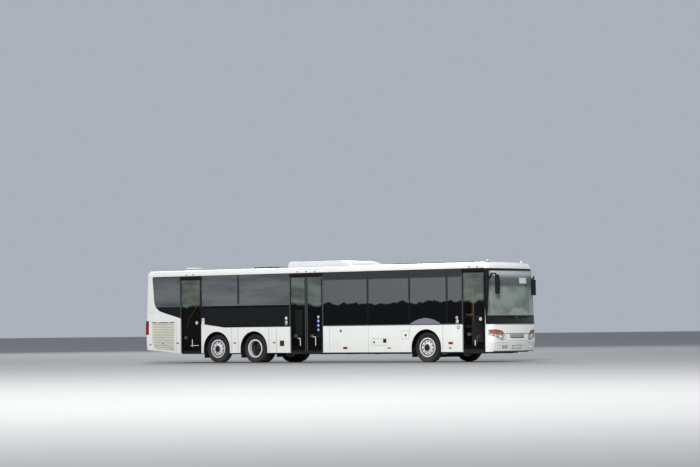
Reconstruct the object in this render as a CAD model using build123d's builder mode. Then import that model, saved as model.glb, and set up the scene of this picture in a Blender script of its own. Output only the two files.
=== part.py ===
"""Three-axle low-entry city bus: two steered axles, twin drive wheels, four swinging door leaves.

Millimetres. +X is forward, +Y is the bus's left, Z is up from the road. The doors are on the right, at -Y.
"""
import math
import os

from build123d import *

os.makedirs("parts", exist_ok=True)

# Driving dimensions of the body
LENGTH = 14640  # from the station line to the foremost point, the mirrors
WIDTH = 2550
HALF = WIDTH / 2
WALL = 60
GLASS = 8
SKIRT_Z = 330
BELT_Z = 1190
BAND_TOP_Z = 2950
ROOF_Z = 3150
ROOF_SIDE_Z = 3110
ROOF_EDGE_RADIUS = 150
REAR_X = -7280  # the station line, 80 ahead of the rearmost point; the whole bus is centred on X 0
REAR_BOW = 30
REAR_MASK_END = 306
FRONT_MASK_START = 14234

# Floor heights
LOW_FLOOR_Z = 350
STEP_Z = 600
HIGH_FLOOR_Z = 850
ENGINE_DECK_Z = 1250
FLOOR_THICK = 50
INNER_HALF = HALF - WALL - 2

# Wheels, axles and steering
TYRE_RADIUS = 478
TYRE_WIDTH = 275
WHEEL_Y = 1097.5
TWIN_SPACING = 320
FRONT_AXLE = 11950
DRIVE_AXLE = 4830
TAG_AXLE = 3200
ARCH_RADIUS = 570
HOUSING_RADIUS = 620
HOUSING_THICK = 20
HOUSING_INNER_Y = 600
KINGPIN_Y = 1000
KINGPIN_RADIUS = 22
PIN_CLEARANCE = 0.5
STEER_ARM = (220, 85)  # the steering arm's eye, behind and inboard of the kingpin
TIE_ROD_Z = 240

# Doors, measured in each doorway's own frame: u runs from its hinge jamb into the opening, v runs outward
DOOR_BOTTOM_Z = 335
DOOR_TOP_Z = 2830
DOORWAY_TOP_Z = 2850
POST_INSET = 150  # from the wall's outer plane to the door post
POST_FROM_JAMB = 60
LEAF_THICK = 50
LEAF_GAP = 22
PIVOT_V = 50
OPEN_ELBOW = (-15, 215)  # the arm's elbow when the door stands open
ARM_HEIGHTS = (480, 2600)
PANEL_GAP = 4


def at(distance):
    """X of a place measured forward from the station line."""
    return REAR_X + distance


def block(x, y, z, mode=Mode.ADD):
    """Axis-aligned box between pairs of limits, joined to the part being built."""
    with Locations(((x[0] + x[1]) / 2, (y[0] + y[1]) / 2, (z[0] + z[1]) / 2)):
        Box(x[1] - x[0], y[1] - y[0], z[1] - z[0], mode=mode)


def save(part, name):
    """Labels one finished piece and writes it as its own node."""
    part.label = name
    export_step(part, f"parts/{name}.step")


# Body shape: each section is z, rear, rear corner radius, front, front bow, front corner radius
SECTIONS = (
    (SKIRT_Z, -40, 110, 14535, 150, 240),
    (620, -70, 110, 14605, 150, 240),
    (900, -80, 110, 14605, 150, 240),
    (BELT_Z, -80, 110, 14590, 150, 220),
    (ROOF_Z, -35, 180, 14410, 110, 175),
)


def plan_outline(rear, rear_corner, front, bow, corner, inset):
    """Plan of the body at one height: straight sides, bowed ends and round corners."""
    with BuildSketch(mode=Mode.PRIVATE) as plan:
        with BuildLine():
            nose = ThreePointArc((front - bow, -HALF), (front, 0), (front - bow, HALF))
            tail = ThreePointArc((rear + REAR_BOW, HALF), (rear, 0), (rear + REAR_BOW, -HALF))
            Line(nose @ 1, tail @ 0)
            Line(tail @ 1, nose @ 0)
        make_face()
        fillet(plan.vertices().group_by(Axis.X)[-1], corner)
        fillet(plan.vertices().group_by(Axis.X)[0], rear_corner)
        if inset:
            offset(amount=-inset)
    return plan.sketch


def body_solid(inset):
    """The body's outer form with its crowned roof, or the same form set in by a wall's thickness and open below."""
    outlines = []
    for z, rear, rear_corner, front, bow, corner in SECTIONS:
        height = z - inset if z == SKIRT_Z else z
        outlines.append((height, plan_outline(at(rear), rear_corner, at(front), bow, corner, inset)))
    with BuildPart() as form:
        for height, plan in outlines:
            with BuildSketch(Plane.XY.offset(height)):
                add(plan)
        loft(ruled=True)
        with BuildSketch(Plane.YZ):
            with BuildLine():
                crown = ThreePointArc(
                    (-HALF, ROOF_SIDE_Z - inset), (0, ROOF_Z - inset), (HALF, ROOF_SIDE_Z - inset)
                )
                Polyline(crown @ 1, (HALF, 0), (-HALF, 0), crown @ 0)
            make_face()
        extrude(amount=LENGTH, both=True, mode=Mode.INTERSECT)
        fillet(form.faces().sort_by(Axis.Z)[-1].edges(), ROOF_EDGE_RADIUS - inset)
    return form.part


outer = body_solid(0)
shell = outer - body_solid(WALL)
glass_skin = outer - body_solid(GLASS)
lamp_bed = body_solid(WALL - 10)
lamp_skin = outer - lamp_bed
lamp_front = body_solid(-18)  # the face of what stands a little proud, such as the tail lamps

# Side glazing: the dark band's lower edge rises behind the middle door and sweeps up at the rear
BAND_REAR = REAR_MASK_END + 4
SIDE_FRONT = FRONT_MASK_START - 4
SWEEP_CORNER = (400, 1830)
SWEEP_RADIUS = 450
BAND_STEPS = ((1590, 1515), (2514, 1320))
BAND_FLAT_FROM = 3530
REAR_SILL_Z = 1850
REAR_SIGHT_Z = (1930, 2870)
FRONT_SIGHT_Z = (1420, 2690)
PILLAR = 60

# Doorways on the right: rear jamb, front jamb
DOORWAYS = {"rear": (1588, 2514), "middle": (6403, 7767), "front": (13373, 14230)}

# Panes: side, rear edge, front edge, sight heights
PANES = (
    (-1, 2544, 4160, REAR_SIGHT_Z),
    (-1, 4170, 6373, REAR_SIGHT_Z),
    (-1, 7797, 9620, FRONT_SIGHT_Z),
    (-1, 9640, 11290, FRONT_SIGHT_Z),
    (-1, 11310, 12760, FRONT_SIGHT_Z),
    (-1, 12780, 13343, FRONT_SIGHT_Z),
    (1, 1600, 3190, REAR_SIGHT_Z),
    (1, 3200, 4820, REAR_SIGHT_Z),
    (1, 4830, 6390, REAR_SIGHT_Z),
    (1, 6400, 7990, FRONT_SIGHT_Z),
    (1, 8000, 9620, FRONT_SIGHT_Z),
    (1, 9640, 11290, FRONT_SIGHT_Z),
    (1, 11310, 12760, FRONT_SIGHT_Z),
    (1, 12800, 14120, FRONT_SIGHT_Z),
)
QUARTER_END = 1560
QUARTER_SILL_Z = 1920


OUTSIDE = 50  # how far outside the body a cut through a wall starts


def side_plane(side, depth=0.0):
    """Vertical plane on one side wall whose sketch has x forward from the station line and y up."""
    return Plane(origin=(REAR_X, side * (HALF - depth), 0), x_dir=(1, 0, 0), z_dir=(0, -1, 0))


def inward(side):
    """Sign that makes an extrusion from a side plane go into the bus."""
    return side


def rect(x, z, mode=Mode.ADD):
    """Rectangle between pairs of limits on the sketch being drawn."""
    with Locations(((x[0] + x[1]) / 2, (z[0] + z[1]) / 2)):
        Rectangle(x[1] - x[0], z[1] - z[0], mode=mode)


def band_face():
    """The dark glazed band of one side."""
    with BuildSketch(mode=Mode.PRIVATE) as band:
        with BuildLine():
            Polyline(
                (BAND_REAR, BAND_TOP_Z), SWEEP_CORNER, *BAND_STEPS, (BAND_FLAT_FROM, BELT_Z), (SIDE_FRONT, BELT_Z),
                (SIDE_FRONT, BAND_TOP_Z), close=True,
            )
        make_face()
        sweep = band.vertices().sort_by_distance(Vector(*SWEEP_CORNER))[0]
        fillet(sweep, SWEEP_RADIUS)
    return band.sketch


def doorway_cuts(side):
    """Removes the right side's doorways from the sketch being drawn."""
    if side < 0:
        for rear, front in DOORWAYS.values():
            rect((rear, front), (0, DOORWAY_TOP_Z), Mode.SUBTRACT)


def pane_rect(rear, front, sight, grow=0.0):
    """Limits of one pane, which hangs from the roof rail to its sill."""
    sill = REAR_SILL_Z if sight == REAR_SIGHT_Z else BELT_Z + 8
    return (rear - grow, front + grow), (sill - grow, BAND_TOP_Z - PANEL_GAP)


def quarter_pane(grow):
    """The rearmost pane of a side, cut to the band's sweep, grown or shrunk all round."""
    with BuildSketch(mode=Mode.PRIVATE) as pane:
        add(band_face())
        offset(amount=grow - 10)
        rect((0, QUARTER_END + grow), (QUARTER_SILL_Z - grow, BAND_TOP_Z), Mode.INTERSECT)
    return pane.sketch


def window_frame(side):
    """The pillars, sill and roof rail round one side's windows, recessed for the bonded panes."""
    with BuildPart() as frame:
        with BuildSketch(side_plane(side, -OUTSIDE)):
            add(band_face())
            doorway_cuts(side)
        extrude(amount=inward(side) * (OUTSIDE + WALL + 5))
        add(shell, mode=Mode.INTERSECT)
        with BuildSketch(side_plane(side, -OUTSIDE)):
            for pane_side, rear, front, sight in PANES:
                if pane_side == side:
                    rect(*pane_rect(rear, front, sight, PANEL_GAP))
            add(quarter_pane(PANEL_GAP))
        extrude(amount=inward(side) * (OUTSIDE + GLASS), mode=Mode.SUBTRACT)
        with BuildSketch(side_plane(side, -OUTSIDE)):
            for pane_side, rear, front, sight in PANES:
                if pane_side == side:
                    rect((rear + PILLAR, front - PILLAR), sight)
            add(quarter_pane(-PILLAR))
        extrude(amount=inward(side) * (OUTSIDE + WALL + 20), mode=Mode.SUBTRACT)
    return frame.part


# Skirt panels: seams between neighbouring panels, and each side's wheel arches
SEAMS = {-1: (4015, 5560, 9630, 11300), 1: (1590, 2600, 4015, 5560, 7767, 9630, 11300, 13373)}
DEPARTURE = ((0, 455), (1590, SKIRT_Z))  # the rear overhang's lower edge


def departure_z(x):
    """Height of the rear overhang's lower edge at a distance from the station line."""
    (x0, z0), (x1, z1) = DEPARTURE
    return z0 + (z1 - z0) * (x - x0) / (x1 - x0)


# Hinges of the flaps: a pin between two eyes on the body, round which the flap's eye turns
HINGE_PIN = 2.5
HINGE_EYE = 6
EYE_LENGTH = 36
EYE_GAP = 2
STRAP_HALF = 5
STRAP_REACH = 14
FLAP_AXIS = (HALF - 6, 1391)  # distance from the middle plane, height
FLAP_HINGES = (520, 1040)
FLAP_TOP_GAP = 22
HATCH_AXIS = (-62.4, 1461)  # station, height
HATCH_HINGES = (-500, 500)
HATCH_TOP_GAP = 28


def on_axis(centre, along, start, end, radius, mode=Mode.ADD):
    """Round bar on a hinge's axis between two distances from its middle."""
    middle = (start + end) / 2
    if along == "x":
        place = Location((centre[0] + middle, centre[1], centre[2]), (0, 90, 0))
    else:
        place = Location((centre[0], centre[1] + middle, centre[2]), (90, 0, 0))
    with Locations(place):
        Cylinder(radius, end - start, mode=mode)


def strap(centre, along, start, end, reach):
    """Flat strap from a hinge's axis up, or down, to the panel that carries it."""
    z = sorted((centre[2], centre[2] + reach))
    if along == "x":
        block((centre[0] + start, centre[0] + end), (centre[1] - STRAP_HALF, centre[1] + STRAP_HALF), z)
    else:
        block((centre[0] - STRAP_HALF, centre[0] + STRAP_HALF), (centre[1] + start, centre[1] + end), z)


def body_hinge(centre, along):
    """The body's half of a hinge: two eyes with the pin between them."""
    half = EYE_LENGTH / 2
    on_axis(centre, along, -half - EYE_LENGTH, half + EYE_LENGTH, HINGE_PIN)
    for start in (-half - EYE_LENGTH, half + EYE_GAP):
        end = start + EYE_LENGTH - EYE_GAP
        on_axis(centre, along, start, end, HINGE_EYE)
        strap(centre, along, start, end, STRAP_REACH)


def flap_hinge(centre, along):
    """The flap's half of a hinge, bored for the pin."""
    half = EYE_LENGTH / 2
    on_axis(centre, along, -half, half, HINGE_EYE)
    strap(centre, along, -half, half, -STRAP_REACH)
    on_axis(centre, along, -half - 5, half + 5, HINGE_PIN + PIN_CLEARANCE, Mode.SUBTRACT)


RADIATOR_FLAP = (262, 1296, 430, 1380)
FLAP_CORNER = (250, 470)  # along, up: how far the rounded lower rear corner reaches


def flap_outline(grow):
    """The radiator flap with its swept lower rear corner."""
    rear, front, low, top = RADIATOR_FLAP
    along, up = FLAP_CORNER
    with BuildSketch(mode=Mode.PRIVATE) as flap:
        with BuildLine():
            Polyline((rear + along, low + 30), (front, low), (front, top), (rear, top), (rear, low + up))
            ThreePointArc(
                (rear, low + up), (rear + along * 0.22, low + 30 + (up - 30) * 0.36), (rear + along, low + 30),
            )
        make_face()
        if grow:
            offset(amount=grow)
    return flap.sketch


def flap_opening():
    """The flap's outline with its gaps, the widest one above it for the hinges."""
    rear, front, _, top = RADIATOR_FLAP
    with BuildSketch(mode=Mode.PRIVATE) as opening:
        add(flap_outline(6))
        rect((rear - 6, front + 6), (top - 100, top + FLAP_TOP_GAP))
    return opening.sketch


def skirt_panels(side):
    """The painted panels below the dark band, with their seams, arches and flap opening."""
    with BuildPart() as skirt:
        with BuildSketch(side_plane(side, -OUTSIDE)):
            with BuildLine():
                Polyline(
                    (BAND_REAR, departure_z(BAND_REAR)), (DEPARTURE[1][0], SKIRT_Z), (SIDE_FRONT, SKIRT_Z),
                    (SIDE_FRONT, BAND_TOP_Z), (BAND_REAR, BAND_TOP_Z), close=True,
                )
            make_face()
            add(band_face(), mode=Mode.SUBTRACT)
            rect((0, LENGTH), (BAND_TOP_Z - 200, BAND_TOP_Z + 50), Mode.SUBTRACT)
            for axle in (FRONT_AXLE, DRIVE_AXLE, TAG_AXLE):
                with Locations((axle, TYRE_RADIUS)):
                    Circle(ARCH_RADIUS, mode=Mode.SUBTRACT)
                rect((axle - ARCH_RADIUS, axle + ARCH_RADIUS), (0, TYRE_RADIUS), Mode.SUBTRACT)
            doorway_cuts(side)
            for seam in SEAMS[side]:
                rect((seam, seam + PANEL_GAP), (0, BAND_TOP_Z), Mode.SUBTRACT)
            if side < 0:
                add(flap_opening(), mode=Mode.SUBTRACT)
        extrude(amount=inward(side) * (OUTSIDE + WALL + 5))
        add(shell, mode=Mode.INTERSECT)
        if side < 0:
            for x in FLAP_HINGES:
                body_hinge((at(x), -FLAP_AXIS[0], FLAP_AXIS[1]), "x")
    return skirt.part


for side, name in ((-1, "right"), (1, "left")):
    save(window_frame(side), f"{name}_window_frame")
    save(skirt_panels(side), f"{name}_skirt_panels")

# Side and rear glass
REAR_WINDOW = (950, 1800, 2760)  # half width, low edge, top edge

rear_pane = glass_skin & Pos(at(100), 0, (REAR_WINDOW[1] + REAR_WINDOW[2]) / 2) * Box(
    500, 2 * REAR_WINDOW[0], REAR_WINDOW[2] - REAR_WINDOW[1]
)
with BuildPart() as windows:
    for side in (-1, 1):
        with BuildSketch(side_plane(side)):
            for pane_side, rear, front, sight in PANES:
                if pane_side == side:
                    rect(*pane_rect(rear, front, sight))
            add(quarter_pane(0))
        extrude(amount=inward(side) * GLASS)
    add(rear_pane)
save(windows.part, "windows")

# Roof: everything above the band, as end domes, side coves and a centre skin with seams between them
DOME_ENDS = (640, 13800)
COVE_Y = 1100
ROOF_SEAM = 3
with BuildPart() as roof:
    add(shell)
    block((REAR_X - 100, at(LENGTH) + 100), (-HALF - 10, HALF + 10), (0, BAND_TOP_Z), Mode.SUBTRACT)
    for end in DOME_ENDS:
        block((at(end), at(end) + ROOF_SEAM), (-HALF, HALF), (BAND_TOP_Z, ROOF_Z), Mode.SUBTRACT)
    for side in (-1, 1):
        seam_y = sorted((side * COVE_Y, side * (COVE_Y + ROOF_SEAM)))
        block((at(DOME_ENDS[0]), at(DOME_ENDS[1])), seam_y, (BAND_TOP_Z, ROOF_Z), Mode.SUBTRACT)
save(roof.part, "roof")

# Cooling unit: a long low hood, steep and round at the back, sloping at the front
with BuildPart() as air_conditioner:
    with BuildSketch(Plane.XZ):
        with BuildLine():
            Polyline(
                (at(6000), 3080), (at(8740), 3080), (at(8740), 3190), (at(8590), 3260), (at(8230), 3350),
                (at(6070), 3350), (at(6000), 3260), close=True,
            )
        make_face()
    extrude(amount=900, both=True)
    fillet(air_conditioner.edges().filter_by(lambda edge: edge.center().Z > 3100), 60)
    add(outer, mode=Mode.SUBTRACT)
save(air_conditioner.part, "roof_air_conditioner")

# Roof hatches and dark covers: rear edge, front edge, half width, top
HATCHES = ((4150, 5200, 480, 3185), (10000, 11560, 480, 3178), (11600, 13250, 480, 3178))
with BuildPart() as hatches:
    for rear, front, half_width, top in HATCHES:
        block((at(rear), at(front)), (-half_width, half_width), (3100, top))
    fillet(hatches.edges().filter_by(Axis.Z), 60)
    chamfer(hatches.edges().group_by(Axis.Z)[-1], 12)
    add(outer, mode=Mode.SUBTRACT)
save(hatches.part, "roof_hatches")

# Ventilator: a flared base under a louvred cap
with BuildPart() as vent:
    with BuildSketch(Plane.XY.offset(3100)):
        with Locations((at(1195), 0)):
            RectangleRounded(680, 660, 90)
    with BuildSketch(Plane.XY.offset(3205)):
        with Locations((at(1130), 0)):
            RectangleRounded(420, 520, 60)
    loft(ruled=True)
    with BuildSketch(Plane.XY.offset(3205)):
        with Locations((at(1110), 0)):
            RectangleRounded(290, 500, 50)
    extrude(amount=22)
    with BuildSketch(Plane.XY.offset(3227)):
        with Locations((at(1105), 0)):
            RectangleRounded(330, 560, 70)
    extrude(amount=48)
    fillet(vent.faces().sort_by(Axis.Z)[-1].edges(), 24)
    add(outer, mode=Mode.SUBTRACT)
save(vent.part, "roof_ventilator")

# Front mask, windscreen and lamps
SCREEN_Z = (1230, 2930)
SCREEN_SIGHT_Z = (1480, 2880)
SCREEN_START = 14300
FRAME_LIP = 45
LAMP_START = 14310


def lamp_outline(side, grow):
    """Front lamp seen from ahead: an amber blade above a swept main lamp."""
    points = ((1262, 1015), (1050, 1025), (800, 985), (640, 870), (620, 720), (700, 668), (900, 690),
              (1100, 790), (1262, 870))
    with BuildSketch(mode=Mode.PRIVATE) as lamp:
        with BuildLine():
            Polyline(*[(side * y, z) for y, z in points], close=True)
        make_face()
        if grow:
            offset(amount=grow)
    return lamp.sketch


def front_prism(sketch):
    """Solid that a sketch of Y and Z sweeps through the nose along X."""
    with BuildPart() as prism:
        with BuildSketch(Plane(origin=(at(LAMP_START), 0, 0), x_dir=(0, 1, 0), z_dir=(1, 0, 0))):
            add(sketch)
        extrude(amount=500)
    return prism.part


def bar(half, low, top, corner, drop=0):
    """Outline across the bus, its foot narrower by a drop on each side, with round corners."""
    with BuildSketch(mode=Mode.PRIVATE) as outline:
        with BuildLine():
            Polyline((-half, top), (half, top), (half - drop, low), (-half + drop, low), close=True)
        make_face()
        fillet(outline.vertices(), corner)
    return outline.sketch


def spots(half, z, radius):
    """Two round outlines, one on each side of the middle plane."""
    with BuildSketch(mode=Mode.PRIVATE) as outline:
        with Locations((-half, z), (half, z)):
            Circle(radius)
    return outline.sketch


# Pockets pressed into the nose and the engine hatch: outline, depth
PLATE_HALF = 272
NOSE_POCKETS = (
    (bar(450, 745, 878, 28, 45), 25),
    (bar(PLATE_HALF, 405, 531, 8), 12),
    (spots(860, 475, 56), 25),
)
HATCH_POCKETS = (
    (bar(PLATE_HALF, 1080, 1206, 8), 12),
    (bar(130, 560, 620, 20), 25),
    *[(bar(560, z, z + 18, 8), 25) for z in (700, 740, 780, 820, 860, 900)],
)
HATCH_OUTSIDE = 78  # how far the hatch's outside lies behind the station line
pocket_floors = {depth: body_solid(depth) for depth in (12, 25)}

with BuildPart() as screen_region:
    block((at(SCREEN_START), at(LENGTH) + 50), (-HALF, HALF), SCREEN_Z)
with BuildPart() as windscreen:
    add(glass_skin)
    add(screen_region.part, mode=Mode.INTERSECT)
save(windscreen.part, "windscreen")

with BuildPart() as headlamps:
    for side in (-1, 1):
        add(lamp_skin & front_prism(lamp_outline(side, 0)))
save(headlamps.part, "headlamps")

with BuildPart() as front_mask:
    add(shell)
    block((REAR_X - 100, at(FRONT_MASK_START)), (-HALF - 10, HALF + 10), (0, ROOF_Z + 100), Mode.SUBTRACT)
    block((at(14000), at(15000)), (-HALF - 10, HALF + 10), (BAND_TOP_Z, ROOF_Z + 100), Mode.SUBTRACT)
    add(windscreen.part, mode=Mode.SUBTRACT)
    block(
        (at(SCREEN_START + FRAME_LIP), at(LENGTH) + 50), (-HALF, HALF), SCREEN_SIGHT_Z, Mode.SUBTRACT,
    )
    for side in (-1, 1):
        add(front_prism(lamp_outline(side, 3)), mode=Mode.SUBTRACT)
    for outline, depth in NOSE_POCKETS:
        add(front_prism(outline) - pocket_floors[depth], mode=Mode.SUBTRACT)
save(front_mask.part, "front_mask")

# Rear mask with its window and tail lamps, and the engine hatch
HATCH_HALF = 900
HATCH_Z = (480, 1450)
HATCH_GAP = 8
LAMP_Z = (970, 1445)
LAMP_HALF = (1130, 1300)
LAMP_X = (REAR_X - 200, at(120))


def rear_block(half, z, mode=Mode.ADD):
    """Box through the rear wall between half widths and heights."""
    block((REAR_X - 120, at(REAR_MASK_END)), (-half, half), z, mode)


def rear_pocket(sketch, depth):
    """Solid that a sketch of Y and Z sweeps from behind the bus to a depth below the hatch's outside."""
    with BuildPart() as prism:
        with BuildSketch(Plane(origin=(REAR_X - 120, 0, 0), x_dir=(0, 1, 0), z_dir=(1, 0, 0))):
            add(sketch)
        extrude(amount=120 - HATCH_OUTSIDE + depth)
    return prism.part


with BuildPart() as engine_hatch:
    add(shell)
    rear_block(HATCH_HALF, HATCH_Z, Mode.INTERSECT)
    for outline, depth in HATCH_POCKETS:
        add(rear_pocket(outline, depth), mode=Mode.SUBTRACT)
    for y in HATCH_HINGES:
        flap_hinge((at(HATCH_AXIS[0]), y, HATCH_AXIS[1]), "y")
save(engine_hatch.part, "engine_hatch")

with BuildPart() as tail_lamps:
    for side in (-1, 1):
        with BuildPart(mode=Mode.PRIVATE) as lamp:
            block(LAMP_X, sorted(side * y for y in LAMP_HALF), LAMP_Z)
            add(lamp_front, mode=Mode.INTERSECT)
            add(lamp_bed, mode=Mode.SUBTRACT)
        add(lamp.part)
save(tail_lamps.part, "tail_lamps")

with BuildPart() as rear_mask:
    add(shell)
    rear_block(HALF + 10, (0, BAND_TOP_Z), Mode.INTERSECT)
    add(windows.part, mode=Mode.SUBTRACT)
    rear_block(REAR_WINDOW[0] - 50, (REAR_WINDOW[1] + 50, REAR_WINDOW[2] - 50), Mode.SUBTRACT)
    rear_block(HATCH_HALF + HATCH_GAP, (HATCH_Z[0] - HATCH_GAP, HATCH_Z[1] + HATCH_TOP_GAP), Mode.SUBTRACT)
    for side in (-1, 1):
        y_limits = sorted((side * (LAMP_HALF[0] - PANEL_GAP), side * LAMP_HALF[1]))
        block((LAMP_X[0], LAMP_X[1] + PANEL_GAP), y_limits, (LAMP_Z[0] - 4, LAMP_Z[1] + 4), Mode.SUBTRACT)
    with BuildSketch(side_plane(-1)):
        add(flap_opening())
    extrude(amount=-WALL, mode=Mode.SUBTRACT)
    with BuildSketch(Plane.XZ):
        with BuildLine():
            Polyline(
                (at(-150), 0), (at(400), 0), (at(400), departure_z(400)), (at(-150), departure_z(-150)), close=True,
            )
        make_face()
    extrude(amount=HALF + 10, both=True, mode=Mode.SUBTRACT)
    for y in HATCH_HINGES:
        body_hinge((at(HATCH_AXIS[0]), y, HATCH_AXIS[1]), "y")
save(rear_mask.part, "rear_mask")

# Radiator behind its louvred side flap
LOUVRE_PITCH = 56
LOUVRE_COUNT = 15
LOUVRE_SLOPE = 60  # the slats' outer edge is the lower one
FLAP_FRAME = 42
with BuildPart() as radiator_flap:
    with BuildSketch(side_plane(-1)):
        add(flap_outline(0))
    extrude(amount=-WALL + 20)
    with BuildSketch(side_plane(-1)):
        add(flap_outline(-FLAP_FRAME))
    extrude(amount=-WALL, mode=Mode.SUBTRACT)
    with BuildPart(mode=Mode.PRIVATE) as louvres:
        with BuildSketch(Plane.YZ.offset(at(RADIATOR_FLAP[0]))):
            first = RADIATOR_FLAP[2] + 84
            with Locations(*[(-HALF + 17, first + LOUVRE_PITCH * i) for i in range(LOUVRE_COUNT)]):
                Rectangle(50, 7, rotation=LOUVRE_SLOPE)
        extrude(amount=RADIATOR_FLAP[1] - RADIATOR_FLAP[0])
        with BuildSketch(side_plane(-1)):
            add(flap_outline(-FLAP_FRAME + 4))
        extrude(amount=-WALL, mode=Mode.INTERSECT)
    add(louvres.part)
    for x in FLAP_HINGES:
        flap_hinge((at(x), -FLAP_AXIS[0], FLAP_AXIS[1]), "x")
save(radiator_flap.part, "radiator_flap")

with BuildPart() as radiator:
    block((at(330), at(1250)), (-1190, -1090), (480, 1180))
save(radiator.part, "radiator")

# Floor, steps and wheel housings
REAR_STEPWELL = (1610, 2490)
STEPWELL_INNER_Y = 560


def housing_face(axle, radius, low):
    """Tunnel section over a wheel: a half round on straight legs."""
    with BuildSketch(mode=Mode.PRIVATE) as tunnel:
        with Locations((axle, TYRE_RADIUS)):
            Circle(radius)
        if low < TYRE_RADIUS:
            rect((axle - radius, axle + radius), (low, TYRE_RADIUS))
        rect((axle - radius - 10, axle + radius + 10), (-1000, low), Mode.SUBTRACT)
    return tunnel.sketch


# Floor decks, risers and stepwell: limits along the bus, across it and in height
FULL = (-INNER_HALF, INNER_HALF)
MIDDLE = (-HOUSING_INNER_Y + 2, HOUSING_INNER_Y - 2)
LOW_DECK = (LOW_FLOOR_Z - FLOOR_THICK, LOW_FLOOR_Z)
HIGH_DECK = (HIGH_FLOOR_Z - FLOOR_THICK, HIGH_FLOOR_Z)
FLOOR_PLATES = (
    ((300, 1500), FULL, (ENGINE_DECK_Z - FLOOR_THICK, ENGINE_DECK_Z)),
    ((1450, 1500), FULL, (HIGH_DECK[0], ENGINE_DECK_Z - FLOOR_THICK - 2)),
    ((1502, 1588), FULL, HIGH_DECK),
    ((1590, 2510), (-508, INNER_HALF), HIGH_DECK),
    ((2512, 2666), FULL, HIGH_DECK),
    ((2668, 3732), MIDDLE, HIGH_DECK),
    ((3734, 4296), FULL, HIGH_DECK),
    ((4298, 5362), MIDDLE, HIGH_DECK),
    ((5364, 5950), FULL, HIGH_DECK),
    ((5900, 5948), FULL, (STEP_Z + 2, HIGH_DECK[0] - 2)),
    ((5900, 6300), FULL, (STEP_Z - FLOOR_THICK, STEP_Z)),
    ((6252, 6298), FULL, (LOW_FLOOR_Z + 2, STEP_Z - FLOOR_THICK - 2)),
    ((6252, 11328), FULL, LOW_DECK),
    ((11330, 12570), MIDDLE, LOW_DECK),
    ((12572, 14180), FULL, LOW_DECK),
    ((12640, 14150), (250, INNER_HALF), (LOW_FLOOR_Z + 2, 560)),
    ((1612, 2488), (-INNER_HALF, -852), LOW_DECK),
    ((1612, 2488), (-900, -852), (LOW_DECK[1] + 2, STEP_Z - FLOOR_THICK - 2)),
    ((1612, 2488), (-900, -512), (STEP_Z - FLOOR_THICK, STEP_Z)),
    ((1612, 2488), (-560, -512), (STEP_Z + 2, HIGH_FLOOR_Z)),
    ((1590, 1610), (-INNER_HALF, -512), (LOW_DECK[0], HIGH_FLOOR_Z)),
    ((2490, 2510), (-INNER_HALF, -512), (LOW_DECK[0], HIGH_FLOOR_Z)),
)

with BuildPart() as floor:
    for x, y, z in FLOOR_PLATES:
        block((at(x[0]), at(x[1])), y, z)
save(floor.part, "floor")

# Wheel housings: half-round tunnels, closed on the inside; the rear ones stand on the raised deck
with BuildPart() as housings:
    for side in (-1, 1):
        for axle, low in ((FRONT_AXLE, LOW_DECK[0]), (DRIVE_AXLE, HIGH_DECK[0]), (TAG_AXLE, HIGH_DECK[0])):
            outer_plane = side_plane(side, HALF - INNER_HALF)
            depth = INNER_HALF - HOUSING_INNER_Y
            with BuildPart(mode=Mode.PRIVATE) as tunnel:
                with BuildSketch(outer_plane):
                    add(housing_face(axle, HOUSING_RADIUS, low))
                extrude(amount=inward(side) * depth)
                with BuildSketch(outer_plane):
                    add(housing_face(axle, HOUSING_RADIUS - HOUSING_THICK, low - 50))
                extrude(amount=inward(side) * (depth - HOUSING_THICK), mode=Mode.SUBTRACT)
            add(tunnel.part)
save(housings.part, "wheel_housings")

# Underframe: rails and cross members, towing lugs and jacking pads
RAIL_Y = (430, 510)
LOW_RAIL_Z = (270, 300)
HIGH_RAIL_Z = (700, 800)
TOW_PIN_RADIUS = 22
TOW_LUGS = ((14330, LOW_RAIL_Z), (190, (470, 500)))  # the pin hole's place along the bus, the lug's heights
JACK_PADS = (5860, 10940, 12740)
JACK_PAD = (140, 12)

RAIL_MIDDLE = sum(RAIL_Y) / 2
PAD_HALF = JACK_PAD[0] / 2
WELD = 2  # weld gap between neighbouring members
LOW_CROSS = (6500, 7600, 8700, 9800, 10900, 12700, 13700)
HIGH_CROSS = ((2530, 1200), (3900, 1200), (4700, None), (5600, 1200))
CROSS_WIDTH = 80


def member(x, y, z):
    """One straight member of the underframe."""
    block((at(x[0]), at(x[1])), y, z)


def cross_member(x, z, reach, inner, clear):
    """Cross member between the rails, with an outrigger beyond each rail where it reaches further."""
    span = (x, x + CROSS_WIDTH)
    member(span, (-inner, inner), z)
    if reach:
        for side in (-1, 1):
            member(span, sorted((side * clear, side * reach)), z)


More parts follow.
